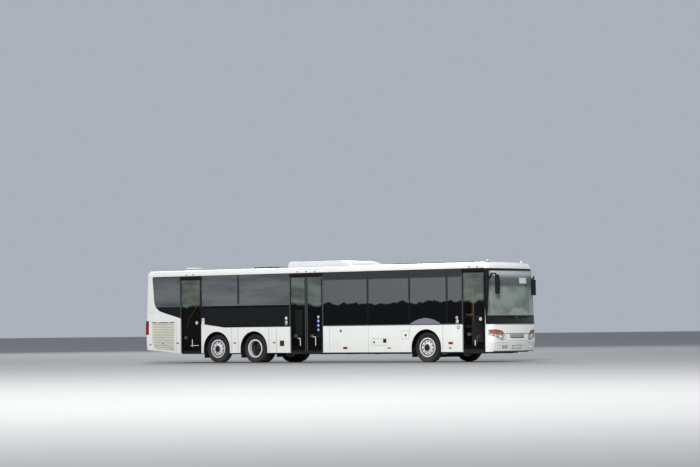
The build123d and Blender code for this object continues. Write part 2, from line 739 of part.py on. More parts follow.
with BuildPart() as underframe:
    for side in (-1, 1):
        rail_y = sorted(side * y for y in RAIL_Y)
        starts = [x + PAD_HALF + WELD for x in JACK_PADS]
        ends = [x - PAD_HALF - WELD for x in JACK_PADS[1:]] + [14100]
        for start, end in zip(starts, ends):
            member((start, end), rail_y, LOW_RAIL_Z)
        pad_y = sorted((side * (RAIL_MIDDLE - PAD_HALF), side * (RAIL_MIDDLE + PAD_HALF)))
        for x in JACK_PADS:
            member((x - PAD_HALF, x + PAD_HALF), pad_y, (LOW_RAIL_Z[0] - JACK_PAD[1], LOW_RAIL_Z[1] - WELD))
        member((5830, 5890), rail_y, (LOW_RAIL_Z[1], HIGH_RAIL_Z[0] - WELD))
        member((320, 5890), rail_y, HIGH_RAIL_Z)
        member((320, 380), rail_y, (470, HIGH_RAIL_Z[0] - WELD))
    for x in LOW_CROSS:
        at_pad = any(abs(x + CROSS_WIDTH / 2 - pad) < PAD_HALF + CROSS_WIDTH for pad in JACK_PADS)
        inner, clear = (RAIL_MIDDLE - PAD_HALF, RAIL_MIDDLE + PAD_HALF) if at_pad else RAIL_Y
        cross_member(x, LOW_RAIL_Z, 1200, inner - WELD, clear + WELD)
    for x, reach in HIGH_CROSS:
        cross_member(x, (720, HIGH_RAIL_Z[1]), reach, RAIL_Y[0] - WELD, RAIL_Y[1] + WELD)
    member((320, 380), (-RAIL_Y[0] + WELD, RAIL_Y[0] - WELD), (470, 540))
    for x, lug_z in TOW_LUGS:
        towards = (LOW_CROSS[-1] + CROSS_WIDTH + WELD, x) if x > 7000 else (x, 320 - WELD)
        member(towards, (-60, 60), lug_z)
        with Locations((at(x), 0, sum(lug_z) / 2)):
            Cylinder(60, lug_z[1] - lug_z[0])
            Hole(TOW_PIN_RADIUS, lug_z[1] - lug_z[0])
save(underframe.part, "underframe")

# Engine and gearbox as plain blocks at their real size and place
with BuildPart() as engine:
    block((at(380), at(1420)), (-350, 350), (420, 1180))
    with Locations(Location((at(1740), 0, 520), (0, 90, 0))):
        Cylinder(220, 640)
save(engine.part, "engine")

# Axles
BEAM_HALF = 60
BEAM_EYE_RADIUS = 45
BEAM_EYE_HALF = 60


def dropped_beam(axle, drop_z, flat_half):
    """Steered axle's beam: eyes at the kingpins, cranked down between the wheels."""
    with BuildPart() as beam:
        with BuildSketch(Plane.YZ.offset(at(axle) - BEAM_HALF)):
            with BuildLine():
                outline = (
                    (KINGPIN_Y - 25, TYRE_RADIUS + 50), (850, TYRE_RADIUS + 50), (flat_half, drop_z + 50),
                    (-flat_half, drop_z + 50), (-850, TYRE_RADIUS + 50), (-KINGPIN_Y + 25, TYRE_RADIUS + 50),
                    (-KINGPIN_Y + 25, TYRE_RADIUS - 50), (-820, TYRE_RADIUS - 50), (-flat_half + 40, drop_z - 50),
                    (flat_half - 40, drop_z - 50), (820, TYRE_RADIUS - 50), (KINGPIN_Y - 25, TYRE_RADIUS - 50),
                )
                Polyline(*outline, close=True)
            make_face()
        extrude(amount=2 * BEAM_HALF)
        for side in (-1, 1):
            cheek = 2 * BEAM_HALF - 70
            for edge in (-1, 1):
                with Locations((at(axle) + edge * (BEAM_HALF - 12), side * (KINGPIN_Y - 40), TYRE_RADIUS)):
                    Box(26, 120, 130, mode=Mode.SUBTRACT)
            with Locations((at(axle), side * KINGPIN_Y, TYRE_RADIUS)):
                Cylinder(BEAM_EYE_RADIUS, 2 * BEAM_EYE_HALF)
                Hole(KINGPIN_RADIUS + PIN_CLEARANCE, 2 * BEAM_EYE_HALF + cheek)
    return beam.part


save(dropped_beam(FRONT_AXLE, 210, 640), "front_axle")
save(dropped_beam(TAG_AXLE, 330, 560), "tag_axle")

DRIVE_TUBE_RADIUS = 85
SPINDLE_RADIUS = 60
with BuildPart() as drive_axle:
    with Locations(Location((at(DRIVE_AXLE), 0, TYRE_RADIUS), (90, 0, 0))):
        Cylinder(DRIVE_TUBE_RADIUS, 1500)
        Cylinder(SPINDLE_RADIUS, 2 * 1020)
    with Locations((at(DRIVE_AXLE), 0, TYRE_RADIUS)):
        Sphere(215)
    with Locations(Location((at(DRIVE_AXLE) - 1360, 0, TYRE_RADIUS + 20), (0, 90, 0))):
        Cylinder(55, 2260)
save(drive_axle.part, "drive_axle")

# Knuckles: ears above and below the beam's eye, a spindle, and a steering arm on the front pair
EAR_Z = (BEAM_EYE_HALF + 5, BEAM_EYE_HALF + 45)
WEB_Y = (62, 88)  # outboard of the kingpin
BALL_PIN_RADIUS = 12
TIE_ROD_EYE = (30, 44)  # radius, height
COLUMN_Z = TIE_ROD_Z + TIE_ROD_EYE[1] / 2 + 6  # the steering arm's foot stays above the tie rod's eye
SPINDLE_END = 197
KNUCKLE_SPINDLE = 40


def knuckle(axle, side, with_arm):
    """Steering knuckle round one end of a beam."""
    centre = (at(axle), side * KINGPIN_Y)
    with BuildPart() as piece:
        for up in (-1, 1):
            z_mid = TYRE_RADIUS + up * sum(EAR_Z) / 2
            with Locations((centre[0], centre[1], z_mid)):
                Cylinder(BEAM_EYE_RADIUS, EAR_Z[1] - EAR_Z[0])
            with Locations((centre[0], centre[1] + side * WEB_Y[1] / 2, z_mid)):
                Box(2 * BEAM_EYE_RADIUS, WEB_Y[1], EAR_Z[1] - EAR_Z[0])
        with Locations((centre[0], centre[1] + side * sum(WEB_Y) / 2, TYRE_RADIUS)):
            Box(2 * BEAM_EYE_RADIUS, WEB_Y[1] - WEB_Y[0], 2 * EAR_Z[1])
        with Locations((centre[0], centre[1], TYRE_RADIUS)):
            Cylinder(KINGPIN_RADIUS, 2 * EAR_Z[1])
        reach = SPINDLE_END - WEB_Y[0]
        with Locations(Location((centre[0], centre[1] + side * (WEB_Y[0] + reach / 2), TYRE_RADIUS), (90, 0, 0))):
            Cylinder(KNUCKLE_SPINDLE, reach)
        if with_arm:
            low = TYRE_RADIUS - EAR_Z[1]
            eye = (centre[0] - STEER_ARM[0], centre[1] - side * STEER_ARM[1])
            bar = Vector(eye[0] - centre[0], eye[1] - centre[1])
            with BuildSketch(Plane.XY.offset(low)):
                middle = (centre[0] + bar.X / 2, centre[1] + bar.Y / 2)
                with Locations(Location(middle, math.degrees(math.atan2(bar.Y, bar.X)))):
                    SlotCenterToCenter(bar.length, 44)
            extrude(amount=30)
            with Locations((*eye, (low + 10 + COLUMN_Z) / 2)):
                Cylinder(22, low + 10 - COLUMN_Z)
            if side > 0:
                with Locations((*eye, TIE_ROD_Z)):
                    Cylinder(BALL_PIN_RADIUS, 70)
    return piece.part


with BuildPart() as tie_rod:
    rod_half = KINGPIN_Y - STEER_ARM[1]
    with Locations(Location((at(FRONT_AXLE) - STEER_ARM[0], 0, TIE_ROD_Z), (90, 0, 0))):
        Cylinder(18, 2 * rod_half - 50)
    with Locations(*[(at(FRONT_AXLE) - STEER_ARM[0], side * rod_half, TIE_ROD_Z) for side in (-1, 1)]):
        Cylinder(*TIE_ROD_EYE)
        Hole(BALL_PIN_RADIUS + PIN_CLEARANCE, 60)
save(tie_rod.part, "front_tie_rod")

# Wheels: profiles are radius and distance outboard of the wheel's centre plane
TYRE_PROFILE = (
    (291, -98), (312, -100), (385, -137.5), (452, -131), (478, -108), (478, 108), (452, 131),
    (385, 137.5), (312, 100), (291, 98),
)
SINGLE_RIM = (
    (41, -2), (105, -2), (105, 66), (240, 84), (262, 60), (262, -112), (308, -112), (308, -101),
    (290.5, -101), (290.5, 101), (308, 101), (308, 112), (272, 112), (245, 98), (150, 84), (120, 96),
    (105, 130), (0, 130), (0, 110), (41, 110),
)
TWIN_RIM = (
    (61, -110), (105, -110), (105, -12), (262, -12), (262, -272), (308, -272), (308, -261),
    (290.5, -261), (290.5, -59), (308, -59), (308, -48), (275, -48), (275, 48), (308, 48), (308, 59),
    (290.5, 59), (290.5, 261), (308, 261), (308, 272), (262, 272), (262, 12), (105, 12), (105, 150),
    (80, 190), (0, 190), (0, 100), (61, 100),
)


def wheel_plane(axle, side, y):
    """Plane through a wheel's centre whose sketch has x as radius and y outboard."""
    return Plane(origin=(at(axle), side * y, TYRE_RADIUS), x_dir=(0, 0, 1), z_dir=(-side, 0, 0))


def revolved(axle, side, centres, profile):
    """Solids of revolution about an axle's line, one for each centre plane."""
    spin_line = Axis((at(axle), 0, TYRE_RADIUS), (0, 1, 0))
    with BuildPart() as solid:
        for y in centres:
            with BuildSketch(wheel_plane(axle, side, y)):
                with BuildLine():
                    Polyline(*profile, close=True)
                make_face()
            revolve(axis=spin_line)
    return solid.part


HAND_HOLES = 10
HAND_HOLE_RADIUS = 26


def rim(axle, side, centre, profile, hole_circle):
    """Disc wheel, or a pair of them back to back, with hand holes round its disc."""
    with BuildPart() as wheel:
        add(revolved(axle, side, (centre,), profile))
        with BuildSketch(Plane(origin=(at(axle), side * (centre + 160), TYRE_RADIUS), z_dir=(0, -side, 0))):
            with PolarLocations(hole_circle, HAND_HOLES):
                Circle(HAND_HOLE_RADIUS)
        extrude(amount=240, mode=Mode.SUBTRACT)
    return wheel.part


TWIN_Y = WHEEL_Y - TWIN_SPACING / 2
# Wheel positions: name, axle, tyre centres, rim centre, rim profile, radius of the hand holes' circle
WHEELS = (
    ("front", FRONT_AXLE, (WHEEL_Y,), WHEEL_Y, SINGLE_RIM, 196),
    ("drive", DRIVE_AXLE, (WHEEL_Y, WHEEL_Y - TWIN_SPACING), TWIN_Y, TWIN_RIM, 205),
    ("tag", TAG_AXLE, (WHEEL_Y,), WHEEL_Y, SINGLE_RIM, 196),
)
for side, hand in ((-1, "right"), (1, "left")):
    for name, axle, tyre_centres, rim_centre, rim_profile, hole_circle in WHEELS:
        save(revolved(axle, side, tyre_centres, TYRE_PROFILE), f"{name}_tyre_{hand}")
        save(rim(axle, side, rim_centre, rim_profile, hole_circle), f"{name}_rim_{hand}")
    save(knuckle(FRONT_AXLE, side, True), f"front_knuckle_{hand}")
    save(knuckle(TAG_AXLE, side, False), f"tag_knuckle_{hand}")

# Doors: name, hinge jamb, far limit, direction from the jamb into the opening, swing in degrees
MIDDLE_CENTRE = sum(DOORWAYS["middle"]) / 2
DOORS = (
    ("front_door", DOORWAYS["front"][1], DOORWAYS["front"][0], -1, 140),
    ("middle_door_front", DOORWAYS["middle"][1], MIDDLE_CENTRE, -1, 130),
    ("middle_door_rear", DOORWAYS["middle"][0], MIDDLE_CENTRE, 1, 130),
    ("rear_door", DOORWAYS["rear"][1], DOORWAYS["rear"][0], -1, 140),
)
MEETING_GAP = 5
ARM_WIDTH = 24
ARM_THICK = 30
BOSS_PIN = 10
STILE = 70


def door_frame(jamb, far, into):
    """Post place, leaf limits along u and the pivot's u for one leaf."""
    width = abs(far - jamb)
    end_gap = MEETING_GAP if far == MIDDLE_CENTRE else LEAF_GAP
    start = LEAF_GAP - POST_FROM_JAMB
    end = width - POST_FROM_JAMB - end_gap
    return at(jamb + into * POST_FROM_JAMB), start, end, (start + end) / 2


def door_arm(jamb, far, into, swing):
    """Vertical door post with its upper and lower cranked arms and their pivot pins."""
    post_x, _, _, pivot_u = door_frame(jamb, far, into)
    turn = math.radians(swing)
    elbow = (
        OPEN_ELBOW[0] * math.cos(turn) + OPEN_ELBOW[1] * math.sin(turn),
        -OPEN_ELBOW[0] * math.sin(turn) + OPEN_ELBOW[1] * math.cos(turn),
    )

    def world(point):
        return Vector(post_x + into * point[0], -HALF + POST_INSET - point[1])

    with BuildPart() as arm:
        with Locations((post_x, -HALF + POST_INSET, (365 + 2870) / 2)):
            Cylinder(20, 2870 - 365)
        for z in ARM_HEIGHTS:
            with BuildSketch(Plane.XY.offset(z)):
                for a, b in (((0, 0), elbow), (elbow, (pivot_u, PIVOT_V))):
                    p, q = world(a), world(b)
                    middle = (p + q) / 2
                    angle = math.degrees(math.atan2(q.Y - p.Y, q.X - p.X))
                    with Locations(Location((middle.X, middle.Y), angle)):
                        SlotCenterToCenter((q - p).length, ARM_WIDTH)
            extrude(amount=ARM_THICK)
            pin = world((pivot_u, PIVOT_V))
            with Locations((pin.X, pin.Y, z + ARM_THICK + 22)):
                Cylinder(BOSS_PIN, 44)
    return arm.part


def door_leaf(jamb, far, into):
    """Leaf frame with its sight opening, pivot brackets and inner grab rail."""
    post_x, start, end, pivot_u = door_frame(jamb, far, into)
    inner_y = -HALF + LEAF_THICK
    x_limits = sorted((post_x + into * start, post_x + into * end))
    with BuildPart() as leaf:
        block(x_limits, (-HALF + GLASS, inner_y), (DOOR_BOTTOM_Z, DOOR_TOP_Z))
        block(
            (x_limits[0] + STILE, x_limits[1] - STILE), (-HALF, inner_y), (DOOR_BOTTOM_Z + 130, DOOR_TOP_Z - 90),
            Mode.SUBTRACT,
        )
        pivot_x = post_x + into * pivot_u
        pivot_y = -HALF + POST_INSET - PIVOT_V
        for z, rail_z in zip(ARM_HEIGHTS, (DOOR_BOTTOM_Z + 130, DOOR_TOP_Z - 170)):
            low = z + ARM_THICK + 5
            block((x_limits[0] + STILE, x_limits[1] - STILE), (-HALF + GLASS, inner_y), (rail_z, rail_z + 80))
            block((pivot_x - 22, pivot_x + 22), (-HALF + GLASS, pivot_y + 20), (low, low + 34))
            block((pivot_x - 22, pivot_x + 22), (-HALF + GLASS, inner_y), (min(low, rail_z), max(low + 34, rail_z + 80)))
            with Locations((pivot_x, pivot_y, low + 17)):
                Hole(BOSS_PIN + PIN_CLEARANCE, 60)
    return leaf.part


def door_glass(jamb, far, into):
    """Bonded pane that covers the whole outside of a leaf."""
    post_x, start, end, _ = door_frame(jamb, far, into)
    x_limits = sorted((post_x + into * start, post_x + into * end))
    with BuildPart() as pane:
        block(x_limits, (-HALF, -HALF + GLASS), (DOOR_BOTTOM_Z, DOOR_TOP_Z))
    return pane.part


for name, jamb, far, into, swing in DOORS:
    save(door_arm(jamb, far, into, swing), f"{name}_arm")
    save(door_leaf(jamb, far, into), f"{name}_leaf")
    save(door_glass(jamb, far, into), f"{name}_glass")

# Mirrors: arm's route from the pillar to the head, bend radius, head's middle
MIRROR_ARMS = (
    (((14330, -1185, 2600), (14440, -1185, 2790), (14545, -1130, 2790), (14588, -1090, 2600)), 70,
     (14588, -1090, 2390)),
    (((14350, 1190, 2600), (14450, 1180, 2705), (14530, 1060, 2705), (14535, 1020, 2560)), 45,
     (14535, 1020, 2350)),
)
MIRROR_HEAD = (100, 165, 500)
ARM_RADIUS = 18

with BuildPart() as mirrors:
    for route, bend, centre in MIRROR_ARMS:
        with BuildLine() as arm_line:
            FilletPolyline(*[(at(x), y, z) for x, y, z in route], radius=bend)
        with BuildSketch(Plane(origin=arm_line.line @ 0, z_dir=arm_line.line % 0)):
            Circle(ARM_RADIUS)
        sweep()
        with BuildPart(mode=Mode.PRIVATE) as head:
            with Locations((at(centre[0]), centre[1], centre[2])):
                Box(*MIRROR_HEAD)
            fillet(head.edges().filter_by(Axis.Z), 32)
            fillet(head.faces().filter_by(Axis.Z).edges(), 22)
        add(head.part)
    add(outer, mode=Mode.SUBTRACT)
save(mirrors.part, "mirrors")

# Wipers lie along the foot of the windscreen and follow its bow
WIPER_THICK = 14
wiper_front = body_solid(-WIPER_THICK)


def wiper_outline(side):
    """Blade and arm seen from ahead."""
    with BuildSketch(mode=Mode.PRIVATE) as wiper:
        with Locations((side * 560, 1428)):
            SlotOverall(900, 24)
        rect(sorted((side * 200, side * 610)), (1380, 1396))
        rect(sorted((side * 540, side * 580)), (1388, 1426))
        with Locations((side * 200, 1388)):
            Circle(24)
    return wiper.sketch


with BuildPart() as wipers:
    for side in (-1, 1):
        add((wiper_front & front_prism(wiper_outline(side))) - outer)
save(wipers.part, "wipers")

# Cab and seats
with BuildPart() as dashboard:
    block((at(13950), at(14330)), (150, 1190), (562, 1250))
    block((at(13650), at(13950)), (1000, 1190), (562, 1050))
save(dashboard.part, "dashboard")

WHEEL_TILT = 30
with BuildPart() as steering_wheel:
    with Locations(Location((at(13800), 700, 1230), (0, -WHEEL_TILT, 0))):
        Torus(225, 15)
        Cylinder(40, 40)
        Box(440, 30, 16)
    with Locations(Location((at(13800) + 50, 700, 1230 - 87), (0, -WHEEL_TILT, 0))):
        Cylinder(25, 170)
save(steering_wheel.part, "steering_wheel")

with BuildPart() as driver_seat:
    block((at(12950), at(13430)), (460, 940), (950, 1070))
    block((at(12900), at(13020)), (460, 940), (950, 1750))
    block((at(13050), at(13350)), (580, 820), (562, 950))
save(driver_seat.part, "driver_seat")

# Double seats: front edge of the cushion, side, floor height
SEAT_ROWS = [(x, side, HIGH_FLOOR_Z) for side in (-1, 1) for x in (2980, 3760, 4540, 5320, 5900) if side > 0 or x > 3000]
SEAT_ROWS += [(x, 1, LOW_FLOOR_Z) for x in (8100, 8900, 9700, 10500)]
SEAT_ROWS += [(x, -1, LOW_FLOOR_Z) for x in (8900, 9700, 10500)]


SEAT_WIDTH = (330, 1200)
SEAT_PROFILE = ((0, 350), (0, 450), (-420, 440), (-510, 1060), (-590, 1060), (-500, 340), (-20, 330))
SEAT_LEG = ((-340, -140), (360, 440), 345)  # along the bus, out from its middle line, height

with BuildPart() as passenger_seats:
    for x, side, floor_z in SEAT_ROWS:
        with BuildSketch(Plane.XZ.offset(-side * sum(SEAT_WIDTH) / 2)):
            with BuildLine():
                Polyline(*[(at(x + dx), floor_z + dz) for dx, dz in SEAT_PROFILE], close=True)
            make_face()
        extrude(amount=(SEAT_WIDTH[1] - SEAT_WIDTH[0]) / 2, both=True)
        leg_y = sorted(side * y for y in SEAT_LEG[1])
        block((at(x + SEAT_LEG[0][0]), at(x + SEAT_LEG[0][1])), leg_y, (floor_z + 2, floor_z + SEAT_LEG[2]))
    block((at(440), at(920)), (-1190, 1190), (ENGINE_DECK_Z + 2, ENGINE_DECK_Z + 420))
    block((at(320), at(440)), (-1080, 1080), (ENGINE_DECK_Z + 2, ENGINE_DECK_Z + 1050))
save(passenger_seats.part, "passenger_seats")

# Grab poles from the low floor to the ceiling
POLES = ((8000, -360), (8205, 360), (9005, -360), (9805, 360), (10700, -360), (12606, 360))
POLE_TOP = 3085
with BuildPart() as handrails:
    for x, y in POLES:
        with Locations((at(x), y, (LOW_FLOOR_Z + 1 + POLE_TOP) / 2)):
            Cylinder(17, POLE_TOP - LOW_FLOOR_Z - 1)
save(handrails.part, "handrails")
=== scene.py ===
"""City bus: materials, detailed pieces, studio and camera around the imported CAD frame. Metres."""
import math

import bmesh
import bpy
import numpy as np
from mathutils import Matrix, Vector
from mathutils.bvhtree import BVHTree


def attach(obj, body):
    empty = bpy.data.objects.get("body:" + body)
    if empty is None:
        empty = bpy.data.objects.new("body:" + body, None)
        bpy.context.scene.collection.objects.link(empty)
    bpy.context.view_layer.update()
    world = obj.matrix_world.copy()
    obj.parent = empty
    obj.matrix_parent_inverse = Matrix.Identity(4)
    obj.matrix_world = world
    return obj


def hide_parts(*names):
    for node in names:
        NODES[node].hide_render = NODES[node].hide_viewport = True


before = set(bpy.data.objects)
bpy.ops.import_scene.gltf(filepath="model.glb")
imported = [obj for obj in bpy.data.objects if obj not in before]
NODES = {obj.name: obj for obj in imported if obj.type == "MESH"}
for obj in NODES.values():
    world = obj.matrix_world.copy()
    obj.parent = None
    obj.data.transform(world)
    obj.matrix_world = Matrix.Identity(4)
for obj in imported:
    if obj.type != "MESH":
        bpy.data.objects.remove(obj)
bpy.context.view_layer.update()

# Distances along the bus are stations from a line near its rear; STATION_X puts them in the frame
STATION_X = -7.28
HALF = 1.275
SKIRT_FOOT = 0.345
WHEEL_Z = 0.478
AXLES = {"front": 11.95, "drive": 4.83, "tag": 3.2}
SIDES = {"left": 1, "right": -1}
# From the middle line to a single wheel or outer twin tyre, to the twin wheel's disc, to the inner twin tyre
OUTER_Y, TWIN_Y, INNER_Y = 1.0975, 0.9375, 0.7775
# Each door leaf: its two edges, the way from its post into the doorway, the middle of its recessed grip,
# the pale handles outside and the round stickers
LEAVES = {
    "front_door": (13.395, 14.208, -1, (13.625, 0.88), ((13.834, 13.860, 0.530, 0.705),),
                   ((14.060, 1.358, 0.052, "sticker_white"),)),
    "middle_door_front": (7.090, 7.745, -1, (7.320, 0.88),
                          ((7.460, 7.482, 0.560, 0.830), (7.360, 7.482, 0.838, 0.856)),
                          ((7.588, 1.500, 0.042, "sticker_white"), (7.588, 1.369, 0.056, "sticker_blue"),
                           (7.588, 1.221, 0.056, "sticker_blue"), (7.588, 1.080, 0.052, "sticker_blue"))),
    "middle_door_rear": (6.425, 7.080, 1, (6.640, 0.88),
                         ((6.816, 6.838, 0.560, 0.790), (6.716, 6.838, 0.798, 0.816)), ()),
    "rear_door": (1.610, 2.492, -1, (1.814, 0.86), ((2.098, 2.120, 0.545, 0.800), (2.036, 2.397, 0.584, 0.600)),
                  ((2.316, 1.361, 0.055, "sticker_white"),)),
}


def at(station):
    """X of a station."""
    return STATION_X + station


# ---------------------------------------------------------------- materials
def srgb(r, g, b):
    """Linear colour from display values between 0 and 255."""
    return tuple((c / 255) ** 2.2 for c in (r, g, b))


class Shade:
    """A procedural material round one Principled shader, in the row frame's coordinates."""

    def __init__(self, name, colour, roughness=0.5, metallic=0.0, coat=0.0, alpha=1.0, specular=0.5):
        self.material = bpy.data.materials.new(name)
        self.material.use_nodes = True
        tree = self.material.node_tree
        self.nodes, self.links = tree.nodes, tree.links
        self.base, self.colour = colour, (*colour, 1)
        self.shader = self.nodes["Principled BSDF"].inputs
        for socket, value in (("Base Color", self.colour), ("Roughness", roughness), ("Metallic", metallic),
                              ("Coat Weight", coat), ("Coat Roughness", 0.04), ("Specular IOR Level", specular),
                              ("Alpha", alpha)):
            self.shader[socket].default_value = value
        self.place = self.nodes.new("ShaderNodeTexCoord").outputs["Object"]

    def feed(self, value, socket):
        """Links a socket to another, or sets it to a number, colour or vector."""
        if isinstance(value, bpy.types.NodeSocket):
            self.links.new(value, socket)
        else:
            socket.default_value = value

    def node(self, kind, inputs, output, **settings):
        """One output of a new node with its settings and inputs."""
        node = self.nodes.new("ShaderNode" + kind)
        for name, value in settings.items():
            setattr(node, name, value)
        for key, value in inputs.items():
            self.feed(value, node.inputs[key])
        return node.outputs[output]

    def noise(self, scale, detail=4.0, stretch=(1, 1, 1)):
        place = self.node("Mapping", {"Vector": self.place, "Scale": stretch}, 0)
        return self.node("TexNoise", {"Vector": place, "Scale": scale, "Detail": detail, "Roughness": 0.55}, "Fac")

    def wave(self, scale, direction):
        return self.node("TexWave", {"Vector": self.place, "Scale": scale}, "Fac", bands_direction=direction)

    def cells(self, scale):
        return self.node("TexVoronoi", {"Vector": self.place, "Scale": scale}, "Distance")

    def ramp(self, value, low, high, to_low=0.0, to_high=1.0):
        return self.node("MapRange", {"Value": value, "From Min": low, "From Max": high, "To Min": to_low,
                                      "To Max": to_high}, "Result", interpolation_type="SMOOTHSTEP")

    def axis(self, letter):
        return self.node("SeparateXYZ", {0: self.place}, letter)

    def zone(self, letter, *span):
        """Ramp along an axis of the bus."""
        return self.ramp(self.axis(letter), *span)

    def math(self, operation, a, b):
        return self.node("Math", {0: a, 1: b}, 0, operation=operation)

    def mix(self, colour, factor):
        """Blends a linear colour over what is there, by a factor socket."""
        self.colour = self.node("Mix", {"Factor": factor, "A": self.colour, "B": (*colour, 1)}, "Result",
                                data_type="RGBA")
        self.feed(self.colour, self.shader["Base Color"])
        return self

    def tint(self, rgb, factor):
        """Blends a display colour over what is there."""
        return self.mix(srgb(*rgb), factor)

    def vary(self, amount, scale):
        """Slight lightening and darkening in patches."""
        return self.mix(tuple(c * (1 - amount) for c in self.base), self.ramp(self.noise(scale), 0.35, 0.7))

    def rough(self, low, high, scale):
        self.feed(self.ramp(self.noise(scale), 0.3, 0.7, low, high), self.shader["Roughness"])
        return self

    def dust(self, rgb, low, high, amount):
        """Road dust that thins out with height."""
        patches = self.ramp(self.noise(3.5, stretch=(0.6, 0.6, 1.6)), 0.25, 0.75, 0.35, 1.0)
        return self.tint(rgb, self.math("MULTIPLY", self.zone("Z", low, high, amount, 0.0), patches))

    def bump(self, value, strength, distance):
        self.feed(self.node("Bump", {"Height": value, "Strength": strength, "Distance": distance}, "Normal"),
                  self.shader["Normal"])
        return self

    def grain(self, scale, detail, strength, distance):
        return self.bump(self.noise(scale, detail), strength, distance)


DUST = (150, 141, 126)


def shades():
    """Every material of the bus by its short name."""
    made = {}

    def new(name, rgb, *values, **more):
        made[name] = Shade(name, srgb(*rgb), *values, **more)
        return made[name]

    new("white_paint", (234, 234, 228), 0.26, coat=0.5).vary(0.035, 2.2).rough(0.22, 0.34, 5) \
        .dust(DUST, 0.3, 1.0, 0.14).grain(900, 2, 0.04, 0.0004)
    new("roof_white", (218, 220, 220), 0.4, coat=0.15).vary(0.02, 1.6).rough(0.34, 0.5, 7).grain(420, 3, 0.06, 0.0006)
    new("black_paint", (16, 16, 18), 0.2, specular=0.3, coat=0.15).vary(0.25, 4).rough(0.14, 0.3, 6) \
        .dust(DUST, 0.3, 0.9, 0.12)
    new("black_plastic", (17, 17, 18), 0.55, specular=0.3).vary(0.3, 9).rough(0.45, 0.65, 20) \
        .grain(700, 3, 0.15, 0.0006)
    new("rubber_seal", (15, 15, 15), 0.7).vary(0.2, 12).grain(300, 3, 0.2, 0.0006)
    new("chrome", (205, 207, 210), 0.12, 1.0).vary(0.05, 8).rough(0.08, 0.2, 12)
    new("tyre_rubber", (31, 31, 32), 0.8).vary(0.3, 14).dust((104, 98, 88), 0.0, 0.5, 0.25) \
        .grain(260, 4, 0.3, 0.0012)
    new("wheel_silver", (232, 232, 232), 0.36, 0.2).vary(0.12, 9).rough(0.3, 0.5, 14) \
        .dust((96, 90, 82), 0.1, 0.8, 0.3).grain(500, 2, 0.08, 0.0005)
    # Painted shade for the deep dish and barrel of the twin wheels
    new("painted_shade_grey", (70, 70, 72), 0.45, 0.4).vary(0.2, 9).grain(500, 2, 0.1, 0.0005)
    new("hub_iron", (44, 43, 42), 0.6, 0.5).vary(0.3, 18).grain(160, 4, 0.3, 0.001)
    new("chassis_steel", (34, 34, 36), 0.65, 0.2).vary(0.3, 6).dust((98, 90, 80), 0.0, 0.9, 0.35) \
        .grain(120, 4, 0.25, 0.001)
    new("liner", (176, 178, 178), 0.6).vary(0.08, 4).grain(350, 3, 0.12, 0.0006)
    new("rail_yellow", (255, 188, 58), 0.3, coat=0.3).vary(0.1, 10).rough(0.24, 0.4, 20)
    new("grille_beige", (214, 213, 198), 0.55).vary(0.07, 3).dust(DUST, 0.35, 1.3, 0.25).grain(400, 3, 0.12, 0.0006)
    new("seat_shell", (70, 73, 78), 0.5).vary(0.12, 8).grain(500, 3, 0.15, 0.0006)
    # Plain ones with a little variation: colour, roughness, amount and scale of the patches
    for name, rgb, roughness, amount, scale, more in (
        ("lamp_glass", (225, 228, 232), 0.05, 0.05, 6, {"alpha": 0.06, "specular": 0.4}),
        ("black_glass", (9, 9, 10), 0.05, 0.3, 2, {"specular": 0.6}),
        ("lamp_smoke", (58, 18, 34), 0.1, 0.2, 12, {"coat": 0.5}),
        ("red_lens", (140, 16, 14), 0.15, 0.25, 25, {"coat": 0.2}),
        ("amber_lens", (176, 86, 8), 0.25, 0.2, 30, {"specular": 0.2}),
        ("clear_lens", (228, 232, 236), 0.08, 0.08, 20, {"coat": 0.6}),
        ("hood_blue", (240, 246, 252), 0.5, 0.08, 5, {}),
        ("post_grey", (54, 55, 58), 0.35, 0.12, 6, {"specular": 0.3}),
        ("louvre_grey", (108, 112, 114), 0.5, 0.15, 8, {}),
        ("sticker_white", (228, 229, 226), 0.35, 0.06, 30, {}),
        ("sticker_blue", (62, 104, 170), 0.35, 0.1, 30, {}),
        ("sticker_red", (170, 62, 52), 0.35, 0.1, 30, {}),
        ("sticker_green", (60, 132, 96), 0.35, 0.1, 30, {}),
        ("cover_mauve", (122, 120, 130), 0.35, 0.1, 5, {}),
        ("plate_white", (214, 215, 208), 0.3, 0.06, 12, {}),
    ):
        new(name, rgb, roughness, **more).vary(amount, scale)
    for name, direction in (("red_lens", "Y"), ("amber_lens", "Z")):
        made[name].bump(made[name].wave(60, direction), 0.12, 0.001)
    vinyl = new("floor_vinyl", (84, 86, 90), 0.6)
    vinyl.tint((128, 130, 134), vinyl.ramp(vinyl.cells(90), 0.0, 0.22, 1.0, 0.0)).grain(300, 2, 0.15, 0.0006)
    dots = new("display_black", (12, 12, 13), 0.3)
    dots.tint((34, 33, 30), dots.ramp(dots.cells(160), 0.1, 0.3, 1.0, 0.0))
    weave = new("seat_fabric", (38, 52, 92), 0.92)
    weave.tint((70, 90, 140), weave.ramp(weave.cells(34), 0.05, 0.16, 0.9, 0.0))
    weave.tint((22, 28, 48), weave.ramp(weave.wave(46, "DIAGONAL"), 0.55, 0.9, 0.0, 0.6))
    weave.bump(weave.math("MULTIPLY", weave.wave(420, "Z"), weave.wave(420, "Y")), 0.35, 0.0008)
    weave.shader["Sheen Weight"].default_value = 0.4
